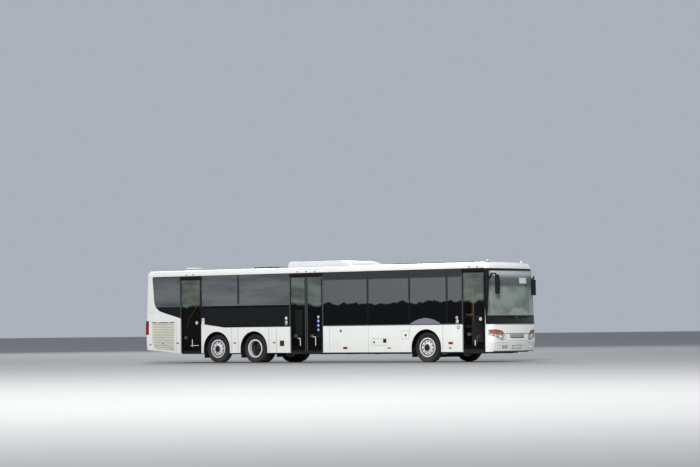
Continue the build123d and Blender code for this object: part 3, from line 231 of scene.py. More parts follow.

    # Side panes: paler above and dark below an edge near 1.9 m. On the rear ones the edge is straight and the dark part
    # is their opaque lower band; on the front ones it is a ragged painted reflection of a tree line. A darker strip
    # runs along the top of the front ones
    tinted = new("dark_glass", (114, 116, 117), 0.05, specular=0.2)
    tinted.tint((74, 77, 83), tinted.ramp(tinted.noise(1.1, 4, (0.25, 1, 1.8)), 0.3, 0.7))
    front_part = tinted.zone("X", at(6.2), at(7.6))
    for rgb, low, high in (((62, 62, 62), 2.66, 2.72), ((98, 101, 103), 2.72, 2.66)):
        tinted.tint(rgb, tinted.math("MULTIPLY", tinted.zone("Z", low, high), front_part))
    # Painted reflection: the ragged tree line that ends the dark lower part of the front panes
    painted_reflection_wobble = tinted.ramp(tinted.noise(2.2, 5, (1, 1, 0.2)), 0.25, 0.75, -0.08, 0.08)
    edge = tinted.math("ADD", tinted.axis("Z"), tinted.math("MULTIPLY", painted_reflection_wobble, front_part))
    tinted.tint((4, 4, 5), tinted.ramp(edge, 1.90, 1.955, 1.0, 0.0))
    tinted.feed(tinted.ramp(edge, 1.90, 1.955, 0.95, 0.80), tinted.shader["Alpha"])

    # Door panes: the same, dark below a ragged painted reflection of a tree line, and clearer below at the front door
    pane = new("door_glass", (126, 136, 127), 0.05, specular=0.2)
    pane.tint((88, 94, 89), pane.ramp(pane.noise(1.6, 4, (0.5, 1, 1.6)), 0.3, 0.7))
    # Painted reflection: dark below a ragged tree line
    painted_reflection_wobble = pane.ramp(pane.noise(2.2, 5, (1, 1, 0.2)), 0.25, 0.75, -0.06, 0.06)
    edge = pane.math("ADD", pane.axis("Z"), painted_reflection_wobble)
    pane.tint((9, 9, 10), pane.ramp(edge, 1.86, 1.98, 1.0, 0.0))
    pane.feed(pane.math("MAXIMUM", pane.zone("X", at(12), at(13), 0.54, 0.38), pane.ramp(edge, 1.86, 1.98, 0.0, 0.55)),
              pane.shader["Alpha"])

    # Windscreen: a painted reflection, darker from 2.3 m and paler towards the top, with a printed black border
    screen = new("clear_glass", (168, 180, 168), 0.03, specular=0.5)
    screen.tint((128, 138, 134), screen.ramp(screen.noise(1.4, 3, (1, 0.8, 1.2)), 0.35, 0.7))
    # Painted reflection: a dark band from 2.3 m, then a pale one at the top
    screen.tint((104, 108, 110), screen.zone("Z", 2.30, 2.46))
    screen.tint((186, 192, 194), screen.zone("Z", 2.62, 2.80))
    lean = screen.math("MULTIPLY", screen.axis("Z"), 0.065)
    sides = screen.ramp(screen.math("ADD", screen.math("ABSOLUTE", screen.axis("Y"), 0.0), lean), 1.345, 1.365)
    ends = screen.math("MAXIMUM", screen.zone("Z", 1.455, 1.475, 1.0, 0.0), screen.zone("Z", 2.86, 2.875))
    border = screen.math("MAXIMUM", sides, ends)
    screen.tint((10, 10, 11), border)
    screen.feed(screen.math("MAXIMUM", screen.zone("Z", 2.40, 2.70, 0.45, 0.85), border), screen.shader["Alpha"])
    return {name: shade.material for name, shade in made.items()}


MATERIALS = shades()

# Which CAD nodes each material covers, by name or by a part of the name; per-face ones follow below
CAD_MATERIALS = {
    "floor_vinyl": "floor", "windows": "dark_glass", "clear_glass": "windscreen", "dark_glass": "windows",
    "black_plastic": "wheel_housings roof_hatches mirrors wipers dashboard radiator steering_wheel",
    "chassis_steel": "underframe engine front_axle drive_axle tag_axle front_tie_rod",
    "white_paint": "left_skirt_panels right_skirt_panels roof front_mask rear_mask engine_hatch",
    "black_paint": "left_window_frame right_window_frame", "roof_white": "roof_air_conditioner roof_ventilator",
    "lamp_glass": "headlamps", "red_lens": "tail_lamps", "seat_fabric": "driver_seat passenger_seats",
    "rail_yellow": "handrails", "grille_beige": "radiator_flap",
}
CAD_KINDS = {"_tyre_": "tyre_rubber", "_rim_": "wheel_silver", "_knuckle_": "chassis_steel",
             "_arm": "black_paint", "_leaf": "black_paint", "_glass": "door_glass"}
for name, node in NODES.items():
    found = [material for material, names in CAD_MATERIALS.items() if name in names.split()]
    found += [material for kind, material in CAD_KINDS.items() if kind in name]
    node.data.materials.clear()
    node.data.materials.append(MATERIALS[found[0]])


def paint_faces(name, material, test):
    """Gives the faces of a CAD node that pass a test of centre, normal and corners another material."""
    mesh = NODES[name].data
    mesh.materials.append(MATERIALS[material])
    index = len(mesh.materials) - 1
    for face in mesh.polygons:
        if test(face.center, face.normal, [mesh.vertices[i].co for i in face.vertices]):
            face.material_index = index


MASK_BLACK_Z = 1.19
ARCH_RADIUS = 0.570
paint_faces("roof_ventilator", "post_grey", lambda c, n, corners: abs(n.z) < 0.3 and 3.206 < c.z < 3.226)
paint_faces("roof_hatches", "black_plastic", lambda c, n, corners: c.x < at(5.5) and abs(n.z) < 0.5)
for hand in SIDES:
    paint_faces(f"{hand}_skirt_panels", "black_plastic", lambda c, n, corners: abs(n.y) < 0.5 and any(
        abs(math.hypot(c.x - at(x), max(0.0, c.z - WHEEL_Z)) - ARCH_RADIUS) < 0.012 for x in AXLES.values()))
paint_faces("front_mask", "black_paint",
            lambda c, n, corners: c.z > MASK_BLACK_Z and (c.y < 0 or (c.x > at(14.3) and c.y < 1.16)))

# ---------------------------------------------------------------- shaping helpers
# The record's slots have the materials' own names, apart from two
SLOTS = {name: name for name in (
    "white_paint", "roof_white", "black_paint", "black_plastic", "dark_glass", "clear_glass", "lamp_glass", "red_lens",
    "tyre_rubber", "wheel_silver", "chassis_steel", "floor_vinyl", "seat_fabric", "rail_yellow", "grille_beige")}
SLOTS.update(rubber_seal="black_plastic", door_glass="dark_glass")


def shell_tree():
    """Search tree over the outer skin, for laying pieces on it."""
    skin = ["front_mask", "windscreen", "headlamps", "rear_mask", "engine_hatch", "tail_lamps", "windows",
            "left_window_frame", "right_window_frame", "left_skirt_panels", "right_skirt_panels", "roof",
            "roof_air_conditioner", "roof_hatches", "roof_ventilator", "radiator_flap"]
    skin += [f"{door}_glass" for door in LEAVES]
    corners, faces = [], []
    for name in skin:
        mesh = NODES[name].data
        start = len(corners)
        corners += [v.co.copy() for v in mesh.vertices]
        faces += [[start + i for i in face.vertices] for face in mesh.polygons]
    return BVHTree.FromPolygons(corners, faces)


SKIN = shell_tree()
# Each view: where a pair of coordinates lies, and the direction looked along
EYE_Y = 2.5
VIEWS = {
    "front": (lambda a, b: Vector((8.5, a, b)), Vector((-1, 0, 0))),
    "rear": (lambda a, b: Vector((-8.5, a, b)), Vector((1, 0, 0))),
    "right": (lambda a, b: Vector((at(a), -EYE_Y, b)), Vector((0, 1, 0))),
    "left": (lambda a, b: Vector((at(a), EYE_Y, b)), Vector((0, -1, 0))),
    "top": (lambda a, b: Vector((at(a), b, 5.0)), Vector((0, 0, -1))),
}


def on_skin(view, a, b, lift=0.0):
    """Point on or above the outer skin under a pair of a view's coordinates; gaps in the sides are bridged."""
    place, look = VIEWS[view]
    start = place(a, b)
    hit, _, _, distance = SKIN.ray_cast(start, look)
    if view in SIDES:
        plane = EYE_Y - HALF
        if hit is None or not plane - 0.001 <= distance <= plane + 0.05:
            hit = start + look * plane
    elif hit is None:
        hit = start + look * 1.2
    return hit - look * lift


def rounded(a0, a1, b0, b1, radius):
    """Outline of a rectangle with round corners."""
    (a0, a1), points = sorted((a0, a1)), []
    for ca, cb, turn in ((a1 - radius, b1 - radius, 0), (a0 + radius, b1 - radius, 90),
                         (a0 + radius, b0 + radius, 180), (a1 - radius, b0 + radius, 270)):
        for step in range(5):
            angle = math.radians(turn + 90 * step / 4)
            points.append((ca + radius * math.cos(angle), cb + radius * math.sin(angle)))
    return points


def slab(a, b, half_a, half_b, radius):
    """Outline of a rectangle with round corners about its middle."""
    return rounded(a - half_a, a + half_a, b - half_b, b + half_b, radius)


def oval(a, b, half_a, half_b=None, steps=24, turn=0):
    """Outline of an ellipse or circle, begun a part of a step further round."""
    half_b = half_b or half_a
    angles = [2 * math.pi * (i + turn) / steps for i in range(steps)]
    return [(a + half_a * math.cos(t), b + half_b * math.sin(t)) for t in angles]


def bent(points, radius):
    """Path through corner points with rounded bends."""
    points = [Vector(p) for p in points]
    path = [points[0]]
    for before, corner, after in zip(points, points[1:], points[2:]):
        a, b = (before - corner).normalized(), (after - corner).normalized()
        reach = min(radius, 0.45 * (before - corner).length, 0.45 * (after - corner).length)
        for step in range(6):
            t = step / 5
            path.append((1 - t) ** 2 * (corner + a * reach) + 2 * t * (1 - t) * corner + t ** 2 * (corner + b * reach))
    return path + [points[-1]]


def facing(origin, out, up=(0, 0, 1)):
    """Matrix at a point whose Z looks outward and whose Y is up as far as it can be."""
    z = Vector(out).normalized()
    x = Vector(up).cross(z).normalized()
    return Matrix.Translation(origin) @ Matrix((x, z.cross(x), z)).transposed().to_4x4()


def standing(origin, z=1):
    """Matrix at a point whose Z looks up, or down."""
    return facing(origin, (0, 0, z), (1, 0, 0))


class Piece:
    """One mesh gathered from shaped solids; every solid keeps its own material."""

    def __init__(self, name, body="body"):
        self.name, self.body = name, body
        self.mesh = bmesh.new()
        self.used = []

    def gather(self, part, material, smooth=False):
        """Takes over the geometry of a temporary bmesh."""
        if material not in self.used:
            self.used.append(material)
        index = self.used.index(material)
        bmesh.ops.recalc_face_normals(part, faces=part.faces[:])
        for face in part.faces:
            face.material_index = index
            face.smooth = smooth
        passing = bpy.data.meshes.new("passing")
        part.to_mesh(passing)
        self.mesh.from_mesh(passing)
        bpy.data.meshes.remove(passing)
        part.free()

    def patch(self, view, outline, material, thick=0.003, rise=0.0):
        """Thin plate that follows the outer skin inside an outline, and sinks in by 2 mm."""
        part = bmesh.new()
        part.faces.new([part.verts.new((a, b, 0)) for a, b in outline])
        for axis in (0, 1) if view not in SIDES else ():
            values = [point[axis] for point in outline]
            low, high = min(values), max(values)
            cuts = min(24, int((high - low) / 0.09))
            for cut in range(1, cuts + 1):
                halve(part, axis, low + (high - low) * cut / (cuts + 1))
        top = bmesh.ops.extrude_face_region(part, geom=part.faces[:])
        raised = {item for item in top["geom"] if isinstance(item, bmesh.types.BMVert)}
        for vert in part.verts:
            vert.co = on_skin(view, vert.co.x, vert.co.y, rise + thick if vert in raised else rise - 0.002)
        self.gather(part, material)

    def plates(self, view, *rows):
        """Plates with round corners: the four edges, the corner radius, and what patch takes."""
        for a0, a1, b0, b1, radius, *look in rows:
            self.patch(view, rounded(a0, a1, b0, b1, radius), *look)

    def discs(self, view, *rows):
        """Oval plates: middle, half widths, and what patch takes."""
        for a, b, half_a, half_b, *look in rows:
            self.patch(view, oval(a, b, half_a, half_b), *look)

    def line(self, view, ends, width, material, rise=0.0005, thick=0.0012):
        """Straight band between two pairs of a view's coordinates."""
        a0, b0, a1, b1 = ends
        along = Vector((a1 - a0, b1 - b0)).normalized() * width / 2
        n = Vector((-along.y, along.x))
        self.patch(view, [(a0 + n.x, b0 + n.y), (a0 - n.x, b0 - n.y), (a1 - n.x, b1 - n.y), (a1 + n.x, b1 + n.y)],
                   material, thick, rise)

    def block(self, low, high, material, bevel=0.004, segments=1, turn=None, smooth=False):
        """Box between two corners with bevelled edges, turned about its own middle."""
        part = bmesh.new()
        low, high = Vector(low), Vector(high)
        size = high - low
        bmesh.ops.create_cube(part, size=1)
        for vert in part.verts:
            vert.co *= size
        bevel = min(bevel, 0.45 * min(size))
        if bevel > 0:
            bmesh.ops.bevel(part, geom=part.edges[:], offset=bevel, segments=segments, profile=0.7, affect="EDGES")
        move = Matrix.Translation((low + high) / 2)
        part.transform(move @ turn if turn else move)
        self.gather(part, material, smooth)

    def boxes(self, *rows):
        """Blocks: two stations, two Y in either order, two Z, and what block takes."""
        for s0, s1, y0, y1, z0, z1, *look in rows:
            self.block((at(s0), min(y0, y1), z0), (at(s1), max(y0, y1), z1), *look)

    def prism(self, outline, place, depth, material, bevel=0.0):
        """Outline in the XY plane of a matrix, raised along its Z."""
        part = bmesh.new()
        part.faces.new([part.verts.new((a, b, 0)) for a, b in outline])
        top = bmesh.ops.extrude_face_region(part, geom=part.faces[:])
        for item in top["geom"]:
            if isinstance(item, bmesh.types.BMVert):
                item.co.z += depth
        bmesh.ops.recalc_face_normals(part, faces=part.faces[:])
        if bevel:
            rim = [edge for edge in part.edges if all(abs(v.co.z - depth) < 1e-6 for v in edge.verts)]
            bmesh.ops.bevel(part, geom=rim, offset=bevel, segments=2, profile=0.6, affect="EDGES")
        part.transform(place)
        self.gather(part, material)

    def lathe(self, profile, place, material, sides=32, smooth=True, relief=None):
        """Turned solid: the profile is radius and height along the matrix's Z; a foot closes what it leaves open."""
        part = bmesh.new()
        first, last = profile[0], profile[-1]
        feet = ()
        if first[0] and last[0]:
            profile, feet = [*profile, first], (0, -2, -1)
        elif first[0]:
            profile, feet = [(0.0, first[1]), *profile], (1,)
        elif last[0]:
            profile, feet = [*profile, (0.0, last[1])], (-2,)
        rings = []
        for side in range(sides):
            angle = 2 * math.pi * side / sides
            ring = []
            for index, (radius, height) in enumerate(profile):
                if relief:
                    radius += relief(side, index)
                ring.append(part.verts.new((radius * math.cos(angle), radius * math.sin(angle), height)))
            rings.append(ring)
        for side in range(sides):
            here, there = rings[side], rings[(side + 1) % sides]
            for index in range(len(profile) - 1):
                part.faces.new((here[index], there[index], there[index + 1], here[index + 1]))
            for index in feet:
                part.edges.get((here[index], there[index])).smooth = False
        bmesh.ops.remove_doubles(part, verts=part.verts[:], dist=1e-6)
        part.transform(place)
        self.gather(part, material, smooth)

    def tube(self, path, radius, material, sides=10, closed=False):
        """Round bar along a path of points."""
        part = bmesh.new()
        points = [Vector(p) for p in path]
        count = len(points)
        rings, across = [], None
        for i, point in enumerate(points):
            before = points[i - 1] if (i or closed) else point
            after = points[(i + 1) % count] if (i < count - 1 or closed) else point
            along = (after - before).normalized()
            if across is None:
                guess = Vector((0, 0, 1)) if abs(along.z) < 0.9 else Vector((1, 0, 0))
                across = along.cross(guess).normalized()
            across = (across - along * across.dot(along)).normalized()
            other = along.cross(across)
            rings.append([part.verts.new(point + radius * (math.cos(a) * across + math.sin(a) * other))
                          for a in (2 * math.pi * k / sides for k in range(sides))])
        for i in range(count if closed else count - 1):
            here, there = rings[i], rings[(i + 1) % count]
            for k in range(sides):
                part.faces.new((here[k], here[(k + 1) % sides], there[(k + 1) % sides], there[k]))
        if not closed:
            part.faces.new(rings[0])
            part.faces.new(rings[-1])
        self.gather(part, material, True)

    def done(self, replaces=()):
        """Makes the object and lets it ride on its body."""
        mesh = bpy.data.meshes.new(self.name)
        self.mesh.to_mesh(mesh)
        self.mesh.free()
        for material in self.used:
            mesh.materials.append(MATERIALS[material])
        made = bpy.data.objects.new(self.name, mesh)
        bpy.context.scene.collection.objects.link(made)
        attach(made, self.body)
        if replaces:
            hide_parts(*replaces)
        return made


def halve(part, axis, value):
    """Cuts a bmesh all through at a value along an axis."""
    place, normal = [0, 0, 0], [0, 0, 0]
    place[axis], normal[axis] = value, 1
    bmesh.ops.bisect_plane(part, geom=part.verts[:] + part.edges[:] + part.faces[:], plane_co=place, plane_no=normal)


# ---------------------------------------------------------------- wheels
TREAD_R = 0.4775
SIDEWALL = [(0.293, -0.096), (0.300, -0.103), (0.330, -0.108), (0.336, -0.112), (0.372, -0.128), (0.378, -0.130),
            (0.384, -0.130), (0.390, -0.1345), (0.420, -0.1350), (0.445, -0.1300), (0.462, -0.1230),
            (0.472, -0.1140), (0.477, -0.1040)]


def hub(axle, side, y, shift=0.0, out_x=0.0):
    """Matrix on a wheel's axis, or behind it by a shift, at a distance from the middle line."""
    return facing((at(AXLES[axle]) + shift, side * y, WHEEL_Z), (out_x, side, 0))


def tyre(piece, axle, side, middle_y):
    """Tyre with shoulder blocks, grooves and sidewall rings, turned about its axle."""
    grooves = [(r, groove + y) for groove in (-0.075, -0.026, 0.026, 0.075)
               for r, y in ((TREAD_R, -0.0062), (0.466, -0.0040), (0.466, 0.0040), (TREAD_R, 0.0062))]
    profile = [*SIDEWALL, (TREAD_R, -0.100), *grooves, (TREAD_R, 0.100), *((r, -y) for r, y in reversed(SIDEWALL))]
    shoulder = {i for i, (r, y) in enumerate(profile) if r > 0.465 and abs(y) > 0.083}
    ribs = {i for i, (r, y) in enumerate(profile) if r > 0.477 and abs(y) < 0.083}

    def relief(segment, index):
        if index in shoulder and segment % 3 == 0:
            return -0.008
        return -0.0012 if index in ribs and segment % 3 == 1 else 0.0

    piece.lathe(profile, hub(axle, side, middle_y), "tyre_rubber", 132, True, relief)


def rim_extras(piece, axle, side):
    """Nuts, hub cap, rim lip, a ring of painted shade and valve in front of the disc."""
    twin = axle == "drive"
    middle = TWIN_Y if twin else OUTER_Y
    # How far the disc, cap and lip stand out from the middle; radius of the bolt circle, size of the cap
    disc, cap_out, lip_out, circle, size = (0.012, 0.190, 0.268, 0.138, 0.62) if twin else \
        (0.093, 0.130, 0.108, 0.134, 0.78)
    for a, b in oval(0, 0, circle, steps=10, turn=0.5):
        spot = hub(axle, side, middle + disc) @ Matrix.Translation((a, b, 0))
        piece.lathe([(0.0, 0.0), (0.021, 0.0), (0.020, 0.004), (0.0, 0.004)], spot, "wheel_silver", 12, False)
        piece.prism(oval(0, 0, 0.0155, steps=6), spot @ Matrix.Translation((0, 0, 0.003)), 0.022, "wheel_silver", 0.002)
        piece.lathe([(0.0, 0.024), (0.0075, 0.024), (0.0075, 0.033), (0.0, 0.035)], spot, "hub_iron", 8, False)
    cap = hub(axle, side, middle + cap_out - 0.004)
    profile = [(0.100, 0.0), (0.098, 0.008), (0.086, 0.014), (0.080, 0.012), (0.060, 0.016), (0.045, 0.026),
               (0.018, 0.030), (0.0, 0.030)]
    piece.lathe([(r * size, h * 0.9) for r, h in profile], cap, "hub_iron", 28)
    for a, b in oval(0, 0, 0.088 * size, steps=8):
        piece.lathe([(0.0, 0.0), (0.006, 0.0), (0.006, 0.007), (0.0, 0.008)],
                    cap @ Matrix.Translation((a, b, 0.008)), "chassis_steel", 6, False)
    piece.lathe([(0.283, -0.004), (0.287, 0.002), (0.296, 0.0045), (0.305, 0.002), (0.307, -0.004)],
                hub(axle, side, middle + lip_out), "wheel_silver", 64)
    # Painted shade: a dark ring in the recess round a single wheel's disc, and the dark depth of a twin wheel's barrel
    groove = [(0.2608, 0.016), (0.2608, 0.150), (0.2616, 0.150), (0.2616, 0.016)] if twin else \
        [(0.232, 0.0976), (0.245, 0.0995), (0.266, 0.1104), (0.266, 0.1090), (0.245, 0.0981), (0.232, 0.0962)]
    piece.lathe(groove, hub(axle, side, middle), "painted_shade_grey" if twin else "hub_iron", 64)
    stem = hub(axle, side, middle + lip_out - 0.045, 0.243, -0.6)
    piece.lathe([(0.006, 0.0), (0.006, 0.030), (0.0045, 0.032), (0.0045, 0.048), (0.0, 0.049)], stem, "rubber_seal", 8)
    piece.lathe([(0.018, -0.010), (0.012, -0.004), (0.006, 0.0)], stem, "rubber_seal", 8)


for hand, side in SIDES.items():
    for axle, station in AXLES.items():
        twin = axle == "drive"
        rubber = Piece(f"{axle}_tread_{hand}", f"{axle}_{hand}_wheel")
        for middle_y in (OUTER_Y, INNER_Y) if twin else (OUTER_Y,):
            tyre(rubber, axle, side, middle_y)
        rubber.done((f"{axle}_tyre_{hand}",))
        metal = Piece(f"{axle}_wheel_nuts_{hand}", f"{axle}_{hand}_wheel")
        rim_extras(metal, axle, side)
        metal.done()
        # Painted shade on a twin wheel's dish, dark iron in the middle of every wheel
        x, cap_y = at(station), 0.96 if twin else 1.19
        if twin:
            paint_faces(f"{axle}_rim_{hand}", "painted_shade_grey", lambda c, n, corners: all(
                math.hypot(v.x - x, v.z - WHEEL_Z) < 0.263 and abs(v.y) < 1.19 for v in corners)
                and 0.9 < abs(c.y) < 1.15)
        paint_faces(f"{axle}_rim_{hand}", "hub_iron", lambda c, n, corners: all(
            math.hypot(v.x - x, v.z - WHEEL_Z) < 0.1065 and abs(v.y) > cap_y for v in corners))

# ---------------------------------------------------------------- sides
PILLARS = {"right": (4.165, 9.63, 11.30, 12.77), "left": (3.195, 4.825, 6.395, 7.995, 9.63, 11.30, 12.78)}
# Sills under the panes: two stations, height, width and thickness of the grey line, drop to the seal below it
REAR_SILL, FRONT_SILL = (1.93, 0.014, 0.002, 0.018), (7.80, 13.34, 1.212, 0.012, 0.0025, 0.014)
SILLS = {"right": ((2.56, 6.37, *REAR_SILL), (0.42, 1.55, *REAR_SILL), FRONT_SILL),
         "left": ((0.42, 6.37, *REAR_SILL), FRONT_SILL)}
for hand, side in SIDES.items():
    right = side < 0
    trim = Piece(f"{hand}_side_trim")
    # Pillars show as thin seals between the panes
    for station in PILLARS[hand]:
        trim.plates(hand, (station - 0.042, station + 0.042, 1.985, 2.93, 0.004, "post_grey", 0.0004))
        for s in (station - 0.016, station + 0.016):
            trim.line(hand, (s, 1.985 if station < 6.4 else 1.22, s, 2.93), 0.008, "rubber_seal", 0.0008)
    for s0, s1, z, width, thick, drop in SILLS[hand]:
        trim.line(hand, (s0, z, s1, z), width, "louvre_grey", 0.0008, thick)
        trim.line(hand, (s0, z - drop, s1, z - drop), 0.012, "rubber_seal", 0.0008, 0.0015)
    # Narrow panel joints on the skirt, pale strips at the middle doorway
    joints = [(3.865, SKIRT_FOOT, 1.27), (4.135, SKIRT_FOOT, 1.26), (5.480, SKIRT_FOOT, 1.25),
              (5.800, SKIRT_FOOT, 1.25), (12.60, SKIRT_FOOT, 1.18)] + [(1.375, 0.40, 1.50)] * right
    uprights = [(*joint, 0.008, "rubber_seal", 0.0003, 0.0008) for joint in joints]
    uprights += [(s, low, 1.18, 0.006, "louvre_grey", 0.0003, 0.0008)
                 for s, low in ((8.048, SKIRT_FOOT), (9.645, SKIRT_FOOT), (11.305, 0.86))]
    if right:
        uprights += [(s, SKIRT_FOOT, 2.84, 0.014, "louvre_grey", 0.0008, 0.003) for s in (6.392, 7.778)]
    for s, low, high, *look in uprights:
        trim.line(hand, (s, low, s, high), *look)
    # Drip rail along the top of the band
    trim.line(hand, (0.36, 2.956, 14.20, 2.956), 0.010, "rubber_seal", 0.001, 0.006)
    # Arch edges
    for axle in AXLES.values():
        arc = [(at(axle + 0.571 * math.cos(t)), WHEEL_Z + 0.571 * math.sin(t))
               for t in (math.pi * k / 40 for k in range(41))]
        arc = [(arc[0][0], SKIRT_FOOT), *arc, (arc[-1][0], SKIRT_FOOT)]
        trim.tube([(x, side * (HALF + 0.0035), z) for x, z in arc], 0.0075, "rubber_seal", 6)
    # Lower edge of the skirt: a bar under the tail, strips between the wheels and doors
    trim.tube([(at(s), side * (HALF - 0.03), z) for s, z in ((0.45, 0.47), (1.55, SKIRT_FOOT))], 0.012,
              "black_plastic", 6)
    trim.boxes(*((s0, s1, side * HALF, side * (HALF - 0.04), 0.322, 0.334, "rubber_seal", 0.002)
                 for s0, s1 in ((5.42, 6.36), (7.80, 11.36), (12.54, 13.33))))
    trim.done()

    # Side lamps on their pale bases, and red reflectors
    lamps = Piece(f"{hand}_side_markers")
    for station, z in ((1.448, 0.68), (3.998, 0.67), (5.715, 0.67), (10.484, 0.465), (12.887, 0.458)):
        lamps.patch(hand, slab(station, z, 0.069, 0.032, 0.012), "sticker_white", 0.0025)
        lamps.patch(hand, slab(station, z, 0.055, 0.020, 0.010), "amber_lens", 0.011)
    for station, z in ((8.697, 0.478), (12.908, 0.612)):
        lamps.patch(hand, slab(station, z, 0.085, 0.035, 0.010), "red_lens", 0.011)
    lamps.done()

# Right skirt: fuel, charging and heater flaps with their locks
flaps = Piece("right_skirt_flaps")
flaps.plates("right", (5.955, 6.135, 0.555, 0.735, 0.014, "black_plastic", 0.004),
             (5.975, 6.115, 0.575, 0.715, 0.010, "chassis_steel", 0.006),
             (10.240, 10.362, 0.640, 0.760, 0.012, "black_plastic", 0.006))
for a0, a1, b0, b1 in ((9.783, 10.385, 0.555, 0.775), (10.985, 11.265, 0.755, 1.020)):
    for line in ((a0, b0, a1, b0), (a1, b0, a1, b1), (a1, b1, a0, b1), (a0, b1, a0, b0)):
        flaps.line("right", line, 0.005, "rubber_seal")
flaps.discs("right", (9.875, 0.655, 0.034, 0.034, "black_plastic", 0.006),
            (11.140, 0.872, 0.038, 0.038, "black_plastic", 0.006), (8.519, 1.033, 0.034, 0.048, "louvre_grey", 0.008),
            (8.519, 1.033, 0.022, 0.034, "black_plastic", 0.010), (13.205, 1.101, 0.056, 0.056, "black_plastic", 0.003),
            (13.205, 1.101, 0.034, 0.034, "sticker_white", 0.0045))
flaps.done()

# Pale cover above the front arch, and blank round and square stickers
cover = Piece("band_covers")
cover.patch("right", [(11.33, 1.215), (12.50, 1.215), (12.48, 1.26), (12.30, 1.345), (12.10, 1.395), (11.91, 1.415),
                      (11.70, 1.385), (11.50, 1.32), (11.36, 1.26)], "cover_mauve", 0.010)
cover.plates("right", (2.555, 2.660, 1.270, 1.520, 0.045, "sticker_white", 0.022))
cover.discs("right", (2.608, 1.455, 0.030, 0.030, "louvre_grey", 0.026))
for station, z, radius, paint in ((6.230, 1.475, 0.050, "sticker_white"), (13.150, 1.412, 0.044, "sticker_red")):
    cover.discs("right", (station, z, radius, radius, "sticker_white", 0.0016),
                (station, z, radius * 0.6, radius * 0.6, paint, 0.0022))
for station, z in ((6.230, 1.320), (13.165, 1.275)):
    for a0, a1, b0, b1, radius, paint, thick in ((-0.045, 0.045, -0.070, 0.070, 0.010, "sticker_white", 0.0016),
                                                 (-0.036, 0.036, -0.062, -0.012, 0.006, "sticker_green", 0.0022),
                                                 (-0.036, -0.004, 0.002, 0.060, 0.006, "sticker_red", 0.0022)):
        cover.plates("right", (station + a0, station + a1, z + b0, z + b1, radius, paint, thick))
cover.done()

# ---------------------------------------------------------------- doors
# Inside each kind of leaf, from its rear edge: yellow rails, bright bars; and a pale hook at the front door
LEAF_RAILS = {
    "front": [[(0.37, 1.28), (0.37, 2.30)], [(0.10, 1.50), (0.37, 1.50)]],
    "rear": [[(0.22, 1.20), (0.32, 1.52), (0.66, 1.90)]],
    "middle": [],
}
LEAF_BARS = {
    "front": [[(0.10, 1.44), (0.60, 1.44)], [(0.10, 2.62), (0.713, 2.62)]],
    "rear": [[(0.48, 0.56), (0.48, 0.86)], [(0.40, 0.62), (0.782, 0.62)]],
    "middle": [[(0.30, 0.50), (0.30, 0.82)], [(0.14, 0.86), (0.44, 0.86)]],
}
LEAF_HOOK = [(0.50, 0.58), (0.50, 0.80), (0.56, 0.84), (0.60, 0.80)]
BAR_Y = -1.243
for door, (low, high, into, (grip, grip_z), bars, spots) in LEAVES.items():
    leaf = Piece(f"{door}_trim", door)
    # Seals round the edge, a wide one where leaves meet
    for s in (low + 0.010, high - 0.010):
        leaf.line("right", (s, SKIRT_FOOT, s, 2.825), 0.018, "rubber_seal", 0.0008, 0.004)
    for z in (0.343, 2.822):
        leaf.line("right", (low + 0.02, z, high - 0.02, z), 0.016, "rubber_seal", 0.0008, 0.004)
    free = low if into < 0 else high
    kind = door.split("_")[0]
    if kind == "middle":
        edge = free - into * 0.032
        leaf.plates("right", (edge - 0.026, edge + 0.026, 0.36, 2.81, 0.004, "post_grey", 0.0008))
    s = free + into * 0.030
    leaf.line("right", (s, 0.36, s, 2.81), 0.010, "louvre_grey", 0.001, 0.003)
    # Recessed grip and lock
    leaf.discs("right", (grip, grip_z, 0.075, 0.045, "louvre_grey", 0.004),
               (grip, grip_z, 0.062, 0.033, "black_plastic", 0.006),
               (grip + 0.012, grip_z + 0.002, 0.016, 0.016, "chrome", 0.009))
    # Kick bar and brush strip at the foot
    leaf.boxes((low + 0.02, high - 0.02, -1.272, -1.268, 0.350, 0.420, "chassis_steel", 0.001),
               (low + 0.03, high - 0.03, -1.2765, -1.2752, 0.352, 0.396, "hub_iron", 0.0005))
    for k in range(14):
        s = low + 0.06 + (high - low - 0.12) * k / 13
        leaf.boxes((s - 0.002, s + 0.002, -1.2775, -1.2764, 0.356, 0.392, "rubber_seal", 0.0))
    # Inner grab rails
    for paint, radius, lines in (("rail_yellow", 0.017, LEAF_RAILS[kind]), ("chrome", 0.009, LEAF_BARS[kind])):
        for line in lines:
            leaf.tube(bent([(at(low + a), BAR_Y, b) for a, b in line], 0.05), radius, paint, 8)
            for a, b in (line[0], line[-1]):
                leaf.lathe([(0.0, 0.0), (0.024, 0.0), (0.022, 0.006), (0.0, 0.008)],
                           facing((at(low + a), -1.232, b), (0, -1, 0)), paint, 12)
    if kind == "front":
        leaf.tube(bent([(at(low + a), BAR_Y, b) for a, b in LEAF_HOOK], 0.03), 0.010, "sticker_white", 8)
    # Handles on the outside of the pane, blank round stickers with a disc in them
    leaf.plates("right", *((*bar, 0.007, "sticker_white", 0.008) for bar in bars))
    for s, z, radius, paint in spots:
        shift, inner = (0, "sticker_white") if paint == "sticker_blue" else (0.010, "louvre_grey")
        leaf.discs("right", (s, z, radius, radius, paint, 0.0016),
                   (s + shift, z, radius * 0.5, radius * 0.5, inner, 0.0022))
    leaf.done()

# ---------------------------------------------------------------- nose
front = Piece("nose_trim")
